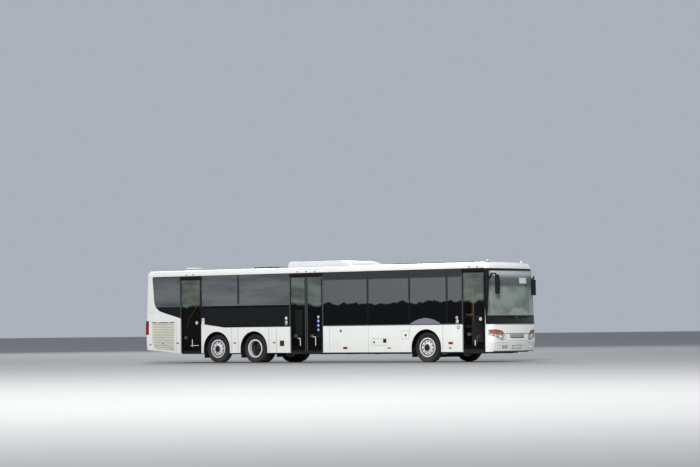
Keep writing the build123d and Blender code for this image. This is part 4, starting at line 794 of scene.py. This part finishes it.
# Lamp housings behind their glass: dark bed, round reflectors, amber blade
LAMP_SHAPE = [(1.245, 1.000), (1.050, 1.010), (0.812, 0.972), (0.660, 0.862), (0.640, 0.728), (0.708, 0.688),
              (0.895, 0.708), (1.090, 0.802), (1.245, 0.880)]
AMBER_SHAPE = [(1.2445, 0.996), (1.050, 1.004), (0.830, 0.974), (0.716, 0.900), (0.800, 0.882), (1.000, 0.893),
               (1.2445, 0.905)]
for side in (-1, 1):
    for shape, paint, rise in ((LAMP_SHAPE, "sticker_white", -0.048), (AMBER_SHAPE, "amber_lens", -0.016)):
        front.patch("front", [(side * a, b) for a, b in shape][::side], paint, 0.004, rise)
    for a, b, radius in ((0.775, 0.800, 0.072), (0.955, 0.835, 0.060), (1.120, 0.872, 0.036)):
        place = facing(on_skin("front", side * a, b, -0.046), (1, side * 0.10, 0))
        front.lathe([(0.0, 0.004), (radius * 0.5, 0.008), (radius * 0.9, 0.024), (radius, 0.028),
                     (radius * 1.05, 0.026), (radius * 1.05, 0.0)], place, "chrome", 28)
        front.lathe([(0.0, 0.022), (radius * 0.28, 0.019), (radius * 0.34, 0.008)], place, "clear_lens", 16)
    front.tube([on_skin("front", side * a, b, 0.0005) for a, b in LAMP_SHAPE], 0.006, "louvre_grey", 6, closed=True)
    # Fog lamp in its pocket
    place = facing((on_skin("front", side * 0.86, 0.475).x - 0.004, side * 0.86, 0.475), (1, side * 0.08, 0))
    front.lathe([(0.0, 0.014), (0.030, 0.012), (0.044, 0.006), (0.047, 0.0)], place, "clear_lens", 28)
    front.lathe([(0.047, 0.0), (0.049, 0.016), (0.054, 0.017), (0.0555, 0.006), (0.0555, 0.0)], place, "chrome", 28)
    # Towing cover
    front.discs("front", (side * 0.42, 0.475, 0.036, 0.036, "louvre_grey", 0.0012),
                (side * 0.42, 0.475, 0.033, 0.033, "white_paint", 0.0022))
# Bright strip between the lamps, bed, bars and dark lip of the slot, blank plate on its holder, blank stickers
front.plates("front", (-0.630, 0.630, 0.892, 0.912, 0.008, "chrome", 0.010))
front.patch("front", [(-0.398, 0.750), (0.398, 0.750), (0.438, 0.872), (-0.438, 0.872)], "sticker_white", 0.004)
for z in (0.792, 0.818, 0.844):
    front.patch("front", slab(0, z, 0.395 + (z - 0.755) * 0.33, 0.005, 0.003), "post_grey", 0.008, 0.002)
front.plates("front", (-0.400, 0.400, 0.748, 0.772, 0.006, "black_plastic", 0.016, 0.002),
             (-0.268, 0.268, 0.409, 0.527, 0.006, "black_plastic", 0.006),
             (-0.244, 0.250, 0.417, 0.519, 0.006, "plate_white", 0.003, 0.005))
for a in (-0.715, -0.575):
    front.patch("front", slab(a, 0.474, 0.052, 0.052, 0.014), "sticker_blue", 0.0016)
    front.discs("front", (a, 0.474, 0.024, 0.024, "sticker_white", 0.0022))
# Lines between the nose's panels, and a rubber lip along its foot
for line in ((-1.14, 1.175, 1.14, 1.175), (-1.20, 0.610, -0.62, 0.610), (0.62, 0.610, 1.20, 0.610),
             (-0.62, 0.610, -0.52, 0.660), (0.52, 0.660, 0.62, 0.610), (-0.52, 0.660, 0.52, 0.660)):
    front.line("front", line, 0.008, "rubber_seal", 0.0004, 0.0010)
front.plates("front", (-1.12, 1.12, 0.334, 0.352, 0.006, "rubber_seal", 0.008))
# Dark field between the lamps and the windscreen, with the glass's seals
front.patch("front", [(-1.155, 1.190), (1.155, 1.190), (1.155, 1.226), (-1.155, 1.226)], "black_glass", 0.0016)
front.plates("front", (-1.15, 1.15, 1.2265, 1.2400, 0.004, "rubber_seal", 0.004),
             (-1.13, 1.13, 2.922, 2.936, 0.004, "rubber_seal", 0.004))
front.done()

# Seals beside the windscreen
posts = Piece("screen_seals")
for side in (-1, 1):
    posts.tube([on_skin("front", side * (1.150 + 0.065 * (2.85 - z)), z, 0.0015)
                for z in np.linspace(1.25, 2.91, 24).tolist()], 0.0065, "rubber_seal", 6)
posts.done()

# Destination box and sun blind behind the windscreen, blank white card on it
behind = Piece("blind_box")
behind.plates("front", (-0.98, 0.98, 2.600, 2.850, 0.01, "display_black", 0.012, -0.085),
              (-1.05, 1.05, 2.570, 2.600, 0.01, "black_plastic", 0.012, -0.075),
              (-1.05, 1.05, 2.850, 2.880, 0.01, "black_plastic", 0.012, -0.075),
              (0.33, 0.78, 2.475, 2.655, 0.006, "plate_white", 0.0008, 0.0004),
              (-0.95, -0.10, 2.40, 2.56, 0.02, "rubber_seal", 0.004, -0.14))
behind.done()

# Pale hood beside the dashboard, seen through the glass
hood = Piece("driver_hood")
curve = [(0.10 + 1.06 * k / 12, 1.30 + 0.40 * math.sin(math.pi * k / 15) ** 0.8) for k in range(1, 13)]
ALONG_X = Matrix(((0, 0, 1, 0), (1, 0, 0, 0), (0, 1, 0, 0), (0, 0, 0, 1)))
hood.prism([(0.10, 1.268), *curve, (1.16, 1.268)], Matrix.Translation((at(14.03), 0, 0)) @ ALONG_X, 0.16,
           "hood_blue", 0.02)
hood.done()

# Wipers: jointed arm over the CAD blade, with its rubber
wipes = Piece("wiper_arms")
for side in (-1, 1):
    wipes.lathe([(0.028, 0.0), (0.028, 0.014), (0.020, 0.020), (0.010, 0.022), (0.0, 0.022)],
                facing(on_skin("front", side * 0.20, 1.388, 0.012), (1, 0, 0)), "black_plastic", 16)
    path = [(0.20, 1.388, 0.026), (0.30, 1.396, 0.036), (0.44, 1.412, 0.034), (0.56, 1.428, 0.026)]
    wipes.tube(bent([on_skin("front", side * a, b, rise) for a, b, rise in path], 0.08), 0.0075, "black_plastic", 8)
    wipes.tube([on_skin("front", side * a, 1.443, 0.008) for a in np.linspace(0.13, 0.99, 14)], 0.005,
               "rubber_seal", 6)
    spine = [(0.18, 0.010), (0.37, 0.0172), (0.56, 0.022), (0.75, 0.0172), (0.94, 0.010)]
    wipes.tube(bent([on_skin("front", side * a, 1.430, rise) for a, rise in spine], 0.06), 0.005, "chassis_steel", 6)
wipes.done()

# Mirror glasses face back, heads get a base and a seam
glass = Piece("mirror_faces")
for x, y, z in ((14.588, -1.090, 2.390), (14.535, 1.020, 2.350)):
    back = Matrix.Translation((at(x) - 0.0505, y, z)) @ Matrix.Rotation(math.radians(-90), 4, "Y")
    for b0, b1 in ((-0.085, 0.215), (-0.215, -0.100)):
        glass.prism([(b, a) for a, b in rounded(-0.064, 0.064, b0, b1, 0.02)], back, 0.003, "chrome", 0.001)
    glass.lathe([(0.024, 0.0), (0.024, 0.030), (0.018, 0.040), (0.0, 0.040)], standing((at(x), y, z + 0.236)),
                "black_plastic", 16)
    seam = [(at(x) + 0.0505 * sx, y + 0.083 * sy, z - 0.075) for sx, sy in ((-1, -1), (1, -1), (1, 1), (-1, 1))]
    glass.tube(seam, 0.0025, "rubber_seal", 4, closed=True)
# Painted highlight as a bright silver line along the top, then the sleeve and joint housing of the near arm
ARM_HIGHLIGHT_LINE = [(14.440, -1.185, 2.8135), (14.500, -1.160, 2.8135), (14.548, -1.128, 2.803)]
SLEEVE = [(14.375, -1.185, 2.678), (14.440, -1.185, 2.790), (14.545, -1.130, 2.790), (14.580, -1.097, 2.640)]
glass.tube([(at(a), b, c) for a, b, c in ARM_HIGHLIGHT_LINE], 0.014, "wheel_silver", 8)
glass.tube(bent([(at(a), b, c) for a, b, c in SLEEVE], 0.07), 0.028, "black_plastic", 12)
glass.boxes((14.545, 14.628, -1.160, -1.020, 2.630, 2.735, "black_plastic", 0.022, 3))
glass.done()

# ---------------------------------------------------------------- tail
rear = Piece("tail_trim")
for side in (-1, 1):
    low, high = side * 1.140, side * 1.262
    rear.plates("rear", (low, high, 0.985, 1.125, 0.012, "red_lens", 0.005),
                (low, high, 1.135, 1.235, 0.012, "amber_lens", 0.005),
                (low, high, 1.245, 1.330, 0.012, "red_lens", 0.005),
                (low, high, 1.340, 1.430, 0.012, "clear_lens", 0.005),
                *((low, high, z - 0.003, z + 0.003, 0.002, "rubber_seal", 0.002) for z in (1.130, 1.240, 1.335)))
    rear.discs("rear", (side * 1.12, 0.66, 0.040, 0.040, "red_lens", 0.010))
    # Lamps at the top, hatch latches
    rear.plates("rear", (side * 1.06, side * 1.19, 2.84, 2.88, 0.008, "red_lens", 0.014),
                (side * 0.90, side * 1.02, 2.84, 2.88, 0.008, "amber_lens", 0.012),
                (side * 0.72, side * 0.80, 0.535, 0.575, 0.010, "black_plastic", 0.006))
# Side of the tail lamp seen from the flank, and the small reflector below it
for hand in SIDES:
    rear.plates(hand, (0.020, 0.112, 1.335, 1.430, 0.008, "lamp_smoke", 0.0205),
                (0.150, 0.215, 0.600, 0.660, 0.010, "louvre_grey", 0.004))
rear.plates("rear", (-0.20, 0.20, 2.845, 2.875, 0.008, "red_lens", 0.010),
            (-0.93, 0.93, 1.805, 1.830, 0.01, "rubber_seal", 0.004),
            (-0.93, 0.93, 2.735, 2.755, 0.01, "rubber_seal", 0.004),
            (-0.945, -0.928, 1.81, 2.75, 0.004, "rubber_seal", 0.004),
            (0.928, 0.945, 1.81, 2.75, 0.004, "rubber_seal", 0.004))
for line in ((-1.20, 0.905, -0.92, 0.905), (0.92, 0.905, 1.20, 0.905)):
    rear.line("rear", line, 0.005, "rubber_seal")
for hand in SIDES:
    rear.line(hand, (0.10, 1.755, 0.44, 1.755), 0.005, "rubber_seal", 0.0004, 0.0010)
rear.done()

hatch = Piece("engine_hatch_trim", "engine_hatch")
hatch.plates("rear", (-0.124, 0.124, 0.566, 0.614, 0.008, "black_plastic", 0.002),
             (-0.100, 0.100, 0.594, 0.612, 0.008, "chrome", 0.018),
             *((-0.552, 0.552, z - 0.0075, z + 0.0075, 0.006, "rubber_seal", 0.003)
               for z in (0.709, 0.749, 0.789, 0.829, 0.869, 0.909)))
hatch.done()

flap = Piece("radiator_flap_trim", "radiator_flap")
# Sheet behind the slats, seen in their gaps
sheet = [(1.266, 0.462), (1.266, 1.350), (0.292, 1.350)]
sheet += [(0.650 + 0.364 * math.cos(t), 0.829 + 0.364 * math.sin(t)) for t in np.radians(np.linspace(170, 250, 9))]
flap.prism(sheet, facing((at(0), -1.239, 0), (0, -1, 0)), 0.002, "grille_beige")
flap.plates("right", (0.700, 0.868, 0.625, 0.705, 0.035, "sticker_white", 0.006),
            (0.730, 0.838, 0.645, 0.685, 0.010, "amber_lens", 0.014))
flap.line("right", (0.275, 1.372, 1.283, 1.372), 0.006, "louvre_grey", 0.0004, 0.0012)
flap.discs("right", *((s, z, 0.016, 0.016, "chassis_steel", 0.004) for s, z in ((0.42, 0.585), (1.16, 0.452))))
flap.done()

# ---------------------------------------------------------------- roof
top = Piece("roof_trim")
# Cooling unit: fan grilles, cover seams, base seal
for station in (6.45, 7.15, 7.85):
    for side in (-1, 1):
        place = standing(on_skin("top", station, side * 0.42, -0.002))
        top.lathe([(0.0, 0.004), (0.240, 0.004), (0.262, 0.012), (0.285, 0.010), (0.290, 0.0)], place,
                  "black_plastic", 36)
        for radius in (0.07, 0.13, 0.19, 0.245):
            top.tube([place @ Vector((a, b, 0.014)) for a, b in oval(0, 0, radius, steps=28)], 0.004, "louvre_grey", 4,
                     closed=True)
        for k in range(6):
            t = math.pi * k / 6
            top.tube([place @ Vector((s * 0.27 * math.cos(t), s * 0.27 * math.sin(t), 0.012)) for s in (-1, 1)], 0.004,
                     "louvre_grey", 4)
for line in ((6.80, -0.86, 6.80, 0.86), (7.50, -0.86, 7.50, 0.86), (8.20, -0.86, 8.20, 0.86), (6.10, 0.0, 8.20, 0.0)):
    top.line("top", line, 0.006, "rubber_seal", 0.0005, 0.001)
for side in (-1, 1):
    top.tube([on_skin("top", s, side * 0.912, 0.004) for s in np.linspace(6.02, 8.74, 20)], 0.014, "rubber_seal", 6)
for end in (8.752, 5.985):
    top.tube([on_skin("top", end, y, 0.004) for y in np.linspace(-0.90, 0.90, 10)], 0.009, "rubber_seal", 6)
# Ventilator: louvres round its neck
NECK = ((0.963, -0.252), (1.257, -0.252), (1.257, 0.252), (0.963, 0.252))
for k in range(3):
    top.tube([(at(s), y, 3.2085 + 0.0065 * k) for s, y in NECK], 0.0026, "louvre_grey", 4, closed=True)
# Hatches: frame seals and hinges
for low, high, lip, thick in ((4.15, 5.20, 3.196, 0.020), (10.00, 11.56, 3.184, 0.011), (11.60, 13.25, 3.184, 0.011)):
    top.line("top", (low + 0.05, 0, high - 0.05, 0), 0.008, "rubber_seal", 0.0005, 0.002)
    corners = rounded(at(low) + 0.030, at(high) - 0.030, -0.450, 0.450, 0.05)
    top.tube([(x, y, lip) for x, y in corners], thick, "rubber_seal", 6, closed=True)
    for y in (-0.43, 0.43):
        top.line("top", (low + 0.06, y, high - 0.06, y), 0.010, "louvre_grey", 0.0005, 0.003)
# Lamps at the front corners, small vents above the doors and panes
for station, y in ((14.18, -1.02), (14.08, 1.02)):
    place = standing(on_skin("top", station, y, -0.006))
    top.lathe([(0.036, 0.0), (0.036, 0.020), (0.030, 0.030)], place, "black_plastic", 16)
    top.lathe([(0.029, 0.028), (0.029, 0.075), (0.022, 0.088), (0.0, 0.092)], place, "clear_lens", 16)
for station in (1.86, 2.17, 6.72, 7.10, 7.46, 13.64, 13.95):
    top.discs("right", (station, 3.000, 0.030, 0.018, "black_plastic", 0.008),
              (station, 3.000, 0.016, 0.009, "chrome", 0.011))
top.discs("left", *((station, 3.000, 0.030, 0.018, "black_plastic", 0.008) for station in (2.4, 5.9, 9.6, 13.0)))
# Aerial
top.lathe([(0.030, 0.0), (0.026, 0.016), (0.008, 0.022), (0.006, 0.060), (0.0, 0.064)],
          standing(on_skin("top", 13.55, 0)), "black_plastic", 16)
top.done()

# ---------------------------------------------------------------- upholstery
SEAM_DEPTH = 0.008
CORNER = 0.05
MOST_SWELL = 0.014


def cushion_mesh(name, length, width, height, seams):
    """Stuffed pad: a box of cloth blown up between its stitched seams. X length, Y width, Z height."""
    pad = bmesh.new()
    bmesh.ops.create_cube(pad, size=1)
    for axis, count in ((0, max(4, round(length / 0.026))), (1, max(4, round(width / 0.026))), (2, 3)):
        for cut in range(1, count):
            halve(pad, axis, -0.5 + cut / count)
    for vert in pad.verts:
        x, y, z = vert.co
        # Round corners in plan and at the edges
        across = max(abs(x), abs(y)) * 2
        vert.co = Vector((x * length, y * width, z * height * (1 - 0.25 * max(0.0, across - 0.9) / 0.1)))
        corner = Vector((max(0, abs(vert.co.x) - length / 2 + CORNER), max(0, abs(vert.co.y) - width / 2 + CORNER)))
        if corner.length > CORNER:
            shrink = CORNER / corner.length
            vert.co.x = math.copysign(length / 2 - CORNER + corner.x * shrink, vert.co.x)
            vert.co.y = math.copysign(width / 2 - CORNER + corner.y * shrink, vert.co.y)
    mesh = bpy.data.meshes.new(name)
    pad.to_mesh(mesh)
    pad.free()
    held = [v.index for v in mesh.vertices if v.co.z < -height * 0.49
            or any(abs(v.co.y - line * width) < 0.013 and v.co.z > 0 for line in seams)]
    for index in held:
        if mesh.vertices[index].co.z > 0:
            mesh.vertices[index].co.z -= SEAM_DEPTH
    cloth = bpy.data.objects.new(name, mesh)
    bpy.context.scene.collection.objects.link(cloth)
    cloth.vertex_groups.new(name="held").add(held, 1.0, "REPLACE")
    blown = cloth.modifiers.new("blown", "CLOTH")
    blown.settings.quality = 5
    blown.settings.mass = 0.3
    blown.settings.tension_stiffness = blown.settings.compression_stiffness = 18
    blown.settings.use_pressure = True
    blown.settings.uniform_pressure_force = 4
    blown.settings.vertex_group_mass = "held"
    blown.settings.effector_weights.gravity = 0
    blown.point_cache.frame_start, blown.point_cache.frame_end = 1, 20
    scene = bpy.context.scene
    for number in range(1, 21):
        scene.frame_set(number)
        bpy.context.view_layer.update()
    shaped = bpy.data.meshes.new_from_object(cloth.evaluated_get(bpy.context.evaluated_depsgraph_get()))
    scene.frame_set(1)
    for vert, start in zip(shaped.vertices, mesh.vertices):
        move = vert.co - start.co
        if move.length > MOST_SWELL:
            vert.co = start.co + move.normalized() * MOST_SWELL
    bpy.data.objects.remove(cloth)
    return shaped


SEAT_PAD = cushion_mesh("seat_pad", 0.440, 0.415, 0.070, (-0.30, 0.30))
BACK_PAD = cushion_mesh("back_pad", 0.560, 0.415, 0.052, (-0.28, 0.28))


def pad_piece(name, pads):
    """Joins copies of the cushion meshes, each under its own matrix, into one padded piece."""
    whole = Piece(name)
    for mesh, place in pads:
        part = bmesh.new()
        part.from_mesh(mesh)
        part.transform(place)
        whole.gather(part, "seat_fabric", True)
    made = whole.done()


def tilted(degrees):
    return Matrix.Rotation(math.radians(degrees), 4, "Y")


def lying(station, y, z, tilt, scale=(1, 1, 1)):
    """Matrix of a pad at a place, turned about Y and scaled."""
    return Matrix.Translation((at(station), y, z)) @ tilted(tilt) @ Matrix.Diagonal((*scale, 1))


HIGH, LOW = 0.85, 0.35
# Rows of seats: station, side and floor height; none stand where the doors are
ROWS = [(3.76, -1), (4.54, -1), (5.32, -1), (5.90, -1), (2.98, 1), (3.76, 1), (4.54, 1), (5.32, 1), (5.90, 1)]
ROWS = [(*row, HIGH) for row in ROWS]
ROWS += [(s, 1, LOW) for s in (8.10, 8.90, 9.70, 10.50)] + [(s, -1, LOW) for s in (8.90, 9.70, 10.50)]
BACK_TILT = -(90 - 8.3)
cushions, backs = [], []
shells = Piece("seat_frames")
for s, side, z in ROWS:
    for y in (side * 0.552, side * 0.978):
        cushions.append((SEAT_PAD, lying(s - 0.225, y, z + 0.409, 1.4)))
        backs.append((BACK_PAD, lying(s - 0.487, y, z + 0.760, BACK_TILT)))
        # Plastic shell under and behind each pad
        for half_x, half_y, tilt, back, up in ((0.215, 0.208, 1.4, 0.230, 0.358),
                                               (0.330, 0.205, BACK_TILT, 0.530, 0.725)):
            middle, half = Vector((at(s) - back, y, z + up)), Vector((half_x, half_y, 0.010))
            shells.block(middle - half, middle + half, "seat_shell", 0.012, 2, tilted(tilt), True)
    # Leg and floor foot, wall bracket, grab handle on the aisle corner
    leg = side * 0.40
    shells.boxes((s - 0.30, s - 0.18, leg - 0.030, leg + 0.030, z + 0.020, z + 0.345, "seat_shell", 0.014, 2),
                 (s - 0.34, s - 0.14, leg - 0.045, leg + 0.045, z + 0.002, z + 0.022, "seat_shell", 0.006),
                 (s - 0.36, s - 0.12, side * 0.36, side * 1.19, z + 0.325, z + 0.347, "chassis_steel", 0.004))
    handle = [(0.535, 0.365, 0.86), (0.545, 0.340, 0.96), (0.560, 0.365, 1.045), (0.560, 0.52, 1.050)]
    shells.tube(bent([(at(s) - a, side * b, z + c) for a, b, c in handle], 0.05), 0.012, "rail_yellow", 8)
# Rear bench on the engine deck
for y in (-0.92, -0.46, 0.0, 0.46, 0.92):
    cushions.append((SEAT_PAD, lying(0.68, y, 1.630, 1.0, (1.0, 1.05, 1.0))))
    backs.append((BACK_PAD, lying(0.425, y * 0.955, 1.975, -85, (1.0, 1.03, 1.0))))
shells.boxes((0.445, 0.905, -1.17, 1.17, 1.255, 1.590, "seat_shell", 0.012),
             (0.325, 0.400, -1.06, 1.06, 1.255, 2.290, "seat_shell", 0.012))
shells.done(("passenger_seats",))
pad_piece("seat_cushions", cushions)
pad_piece("seat_backs", backs)

# Driver's seat
seat = Piece("driver_seat_frame")
seat.boxes((13.06, 13.34, 0.60, 0.80, 0.564, 0.600, "black_plastic", 0.010),
           *((13.10, 13.30, 0.62, 0.78, 0.605 + z, 0.655 + z, "rubber_seal", 0.018, 2)
             for z in (0.0, 0.062, 0.124, 0.186, 0.248)),
           (12.99, 13.41, 0.485, 0.915, 0.915, 0.965, "black_plastic", 0.018, 2),
           (12.905, 12.945, 0.495, 0.905, 1.05, 1.56, "black_plastic", 0.016, 2))
for y in (0.60, 0.80):
    seat.tube([(at(12.945), y, 1.54), (at(12.950), y, 1.66)], 0.008, "chrome", 8)
for y in (0.475, 0.925):
    seat.boxes((12.98, 13.26, y - 0.012, y + 0.012, 1.185, 1.225, "black_plastic", 0.010, 2))
seat.tube(bent([(at(12.935), 0.905, 1.57), (at(12.990), 0.86, 1.40), (at(13.03), 0.90, 1.06)], 0.06), 0.010,
          "rubber_seal", 6)
seat.done(("driver_seat",))
pad_piece("driver_seat_pads", [
    (SEAT_PAD, lying(13.20, 0.70, 1.008, 2.0, (0.98, 1.02, 1.2))),
    (BACK_PAD, lying(12.975, 0.70, 1.300, -86, (0.90, 1.0, 1.1))),
    (BACK_PAD, lying(12.955, 0.70, 1.680, -88, (0.22, 0.62, 1.0))),
])

# ---------------------------------------------------------------- cab and saloon
cab = Piece("dashboard_trim")
cab.boxes((13.952, 14.325, 0.155, 1.185, 1.246, 1.268, "seat_shell", 0.010, 2))
for y0, y1, z0 in ((0.50, 0.90, 1.06), (0.20, 0.42, 1.00), (0.96, 1.12, 1.06)):
    cab.boxes((13.934, 13.951, y0, y1, z0, 1.20, "black_plastic", 0.006, 2),
              (13.930, 13.936, y0 + 0.012, y1 - 0.012, z0 + 0.012, 1.188, "display_black", 0.002))
for y in (0.58, 0.70, 0.82):
    cab.lathe([(0.045, 0.0), (0.045, 0.004), (0.040, 0.006), (0.038, 0.002), (0.0, 0.002)],
              facing((at(13.930), y, 1.13), (-1, 0, 0)), "chrome", 24)
# Switches beside the instruments, and a panel with its own on the driver's left
cab.boxes(*((13.936, 13.951, y, y + 0.036, z, z + 0.035, "louvre_grey", 0.004)
            for z in (0.90, 0.95) for y in (0.24, 0.34, 0.44, 0.94, 1.04)),
          (13.70, 13.94, 1.01, 1.18, 1.046, 1.062, "seat_shell", 0.008, 2),
          *((13.72 + 0.036 * k, 13.742 + 0.036 * k, 1.04, 1.07, 1.060, 1.070, "louvre_grey", 0.003) for k in range(6)))
cab.lathe([(0.018, 0.0), (0.018, 0.012), (0.012, 0.020), (0.012, 0.050), (0.020, 0.060), (0.020, 0.080), (0.0, 0.086)],
          standing((at(13.75), 1.13, 1.060)), "black_plastic", 14)
# Pedals
cab.boxes(*((13.90, 13.93, y - 0.035, y + 0.035, 0.66, 0.80, "rubber_seal", 0.008, 2, tilted(-30))
            for y in (0.62, 0.76)))
cab.done()

grip = Piece("steering_wheel_trim", "steering_wheel")
column = Matrix.Translation((at(13.80), 0.70, 1.23)) @ tilted(-30)
grip.lathe([(0.055, -0.014), (0.062, 0.004), (0.052, 0.022), (0.020, 0.026), (0.0, 0.026)], column, "black_plastic", 28)
for t in np.radians((90, 210, 330)):
    grip.tube([column @ Vector((r * math.cos(t), r * math.sin(t), 0.0)) for r in (0.045, 0.222)], 0.010,
              "louvre_grey", 8)
grip.done()

saloon = Piece("saloon_rails")
TOP_RAIL = 2.300
for s, y in ((8.000, -0.36), (8.205, 0.36), (9.005, 0.36), (9.805, 0.36), (10.700, -0.36), (12.606, 0.36)):
    for z, way in ((0.352, 1), (3.078, -1)):
        saloon.lathe([(0.045, 0.0), (0.043, 0.006), (0.024, 0.012), (0.0175, 0.024), (0.0175, 0.0)],
                     standing((at(s), y, z), way), "rail_yellow", 18)
    saloon.boxes((s - 0.026, s + 0.026, y - 0.032, y + 0.032, 1.42, 1.56, "louvre_grey", 0.014, 2))
    saloon.lathe([(0.017, 0.0), (0.017, 0.006), (0.012, 0.009), (0.0, 0.010)],
                 facing((at(s) - 0.026, y, 1.49), (-1, 0, 0)), "red_lens", 14)
for y, s0, s1 in ((-0.36, 8.0, 10.70), (0.36, 8.205, 12.606)):
    saloon.tube([(at(s0), y, TOP_RAIL), (at(s1), y, TOP_RAIL)], 0.0155, "rail_yellow", 10)
for y in (-0.36, 0.36):
    rail = [(at(s), y, z) for s, z in ((2.9, 2.98), (2.95, 2.72), (6.1, 2.72), (6.15, 2.98))]
    saloon.tube(bent(rail, 0.10), 0.0155, "rail_yellow", 10)
# Lamp strips and grab loops along the ceiling
LOOP = [(-1, 0), (-1, -0.09), (-3.6, -0.15), (-3.6, -0.20), (3.6, -0.20), (3.6, -0.15), (1, -0.09), (1, 0)]
for side in (-1, 1):
    saloon.boxes((0.9, 13.2, side * 0.82 - 0.06, side * 0.82 + 0.06, 3.035, 3.050, "clear_lens", 0.004))
    for k in range(9):
        saloon.tube([(at(8.35 + 0.26 * k) + 0.012 * c, side * 0.36, TOP_RAIL - 0.016 + z) for c, z in LOOP], 0.0055,
                    "rubber_seal", 6, closed=True)
# Glazed screen behind the driver, barriers by the middle doors
saloon.boxes((12.62, 12.645, 0.30, 1.19, 0.62, 1.45, "liner", 0.006),
             (12.628, 12.636, 0.32, 1.18, 1.46, 2.40, "clear_glass", 0.002))
saloon.tube(bent([(at(12.632), y, z) for y, z in ((0.30, 1.45), (0.30, 2.42), (1.19, 2.42))], 0.05), 0.014,
            "rail_yellow", 8)
saloon.boxes((7.92, 7.94, -1.18, -0.50, 0.42, 1.30, "liner", 0.005),
             (6.29, 6.31, -1.18, -0.50, 0.90, 1.75, "liner", 0.005))
saloon.done()

# ---------------------------------------------------------------- below the body
mud = Piece("mud_flaps")
for side in SIDES.values():
    for axle, station in AXLES.items():
        back = station - 0.585
        low, high = sorted((side * (0.64 if axle == "drive" else 0.95), side * 1.235))
        mud.boxes((back - 0.006, back + 0.006, low, high, 0.17, 0.47, "rubber_seal", 0.004),
                  (back - 0.010, back + 0.010, low, high, 0.455, 0.485, "chassis_steel", 0.003))
        for y in (low + (high - low) * (k + 0.5) / 5 for k in range(5)):
            mud.boxes((back - 0.009, back - 0.005, y - 0.006, y + 0.006, 0.19, 0.44, "rubber_seal", 0.002))
mud.done()

# Splash walls inside the rear wheel bays, between the raised deck and the road
walls = Piece("splash_walls")
WALL_Y = 0.585
for side in SIDES.values():
    for s in (AXLES["drive"], AXLES["tag"]):
        y = side * WALL_Y
        walls.boxes((s - 0.62, s + 0.62, y - 0.004, y + 0.004, 0.36, 0.80, "rubber_seal", 0.002),
                    *((end - 0.004, end + 0.004, y, side * 1.205, 0.36, 0.80, "rubber_seal", 0.002)
                      for end in (s - 0.608, s + 0.608)))
walls.done()

steps = Piece("step_edges")
for low, high in ((1.620, 2.480), (6.43, 7.74), (13.40, 14.20)):
    steps.boxes((low, high, -1.205, -1.165, 0.351, 0.356, "rail_yellow", 0.001),
                *((low, high, -1.150 + 0.018 * k, -1.142 + 0.018 * k, 0.351, 0.3545, "rubber_seal", 0.001)
                  for k in range(4)))
steps.done()

# ---------------------------------------------------------------- studio and camera
YAW, PITCH, ROLL = 0.6564, 0.0380, -0.0108
EYE = Vector((60.689 + STATION_X, -68.453, 0.973))
SENSOR = 36
LENS = 2608 / 700 * SENSOR
FLOOR_REACH = 900


def make_camera():
    """Camera that was fitted to the photograph."""
    forward = Vector((-math.sin(YAW) * math.cos(PITCH), math.cos(YAW) * math.cos(PITCH), math.sin(PITCH)))
    level = Vector((math.cos(YAW), math.sin(YAW), 0))
    upright = level.cross(forward)
    right = math.cos(ROLL) * level + math.sin(ROLL) * upright
    up = -math.sin(ROLL) * level + math.cos(ROLL) * upright
    data = bpy.data.cameras.new("photo_camera")
    data.lens, data.sensor_width = LENS, SENSOR
    data.clip_start, data.clip_end = 0.5, 2000
    camera = bpy.data.objects.new("photo_camera", data)
    camera.matrix_world = Matrix.Translation(EYE) @ Matrix((right, up, -forward)).transposed().to_4x4()
    bpy.context.scene.collection.objects.link(camera)
    bpy.context.scene.camera = camera


def make_studio():
    """Pale floor, even sky light and two soft lights."""
    floor = Shade("studio_floor", (0.33, 0.33, 0.325), 0.85)
    floor.vary(0.04, 0.15).grain(60, 3, 0.03, 0.002)
    mesh = bpy.data.meshes.new("studio_floor")
    corners = [(a * FLOOR_REACH, b * FLOOR_REACH, 0) for a, b in ((-1, -1), (1, -1), (1, 1), (-1, 1))]
    mesh.from_pydata(corners, [], [(0, 1, 2, 3)])
    ground = bpy.data.objects.new("studio_floor", mesh)
    ground.data.materials.append(floor.material)
    bpy.context.scene.collection.objects.link(ground)
    world = bpy.data.worlds.new("studio")
    world.use_nodes = True
    background = world.node_tree.nodes["Background"]
    background.inputs["Color"].default_value = (0.46, 0.50, 0.56, 1)
    background.inputs["Strength"].default_value = 0.88
    bpy.context.scene.world = world
    bpy.context.scene.view_settings.view_transform = "Standard"
    for name, place, size, power in (("key_light", (34, -48, 32), 18, 39500), ("fill_light", (-40, 40, 34), 30, 14000)):
        data = bpy.data.lights.new(name, "AREA")
        data.size, data.energy = size, power
        lamp = bpy.data.objects.new(name, data)
        lamp.location = place
        lamp.rotation_mode = "QUATERNION"
        lamp.rotation_quaternion = (Vector((0, 0, 1.5)) - Vector(place)).to_track_quat("-Z", "Y")
        bpy.context.scene.collection.objects.link(lamp)


make_camera()
make_studio()
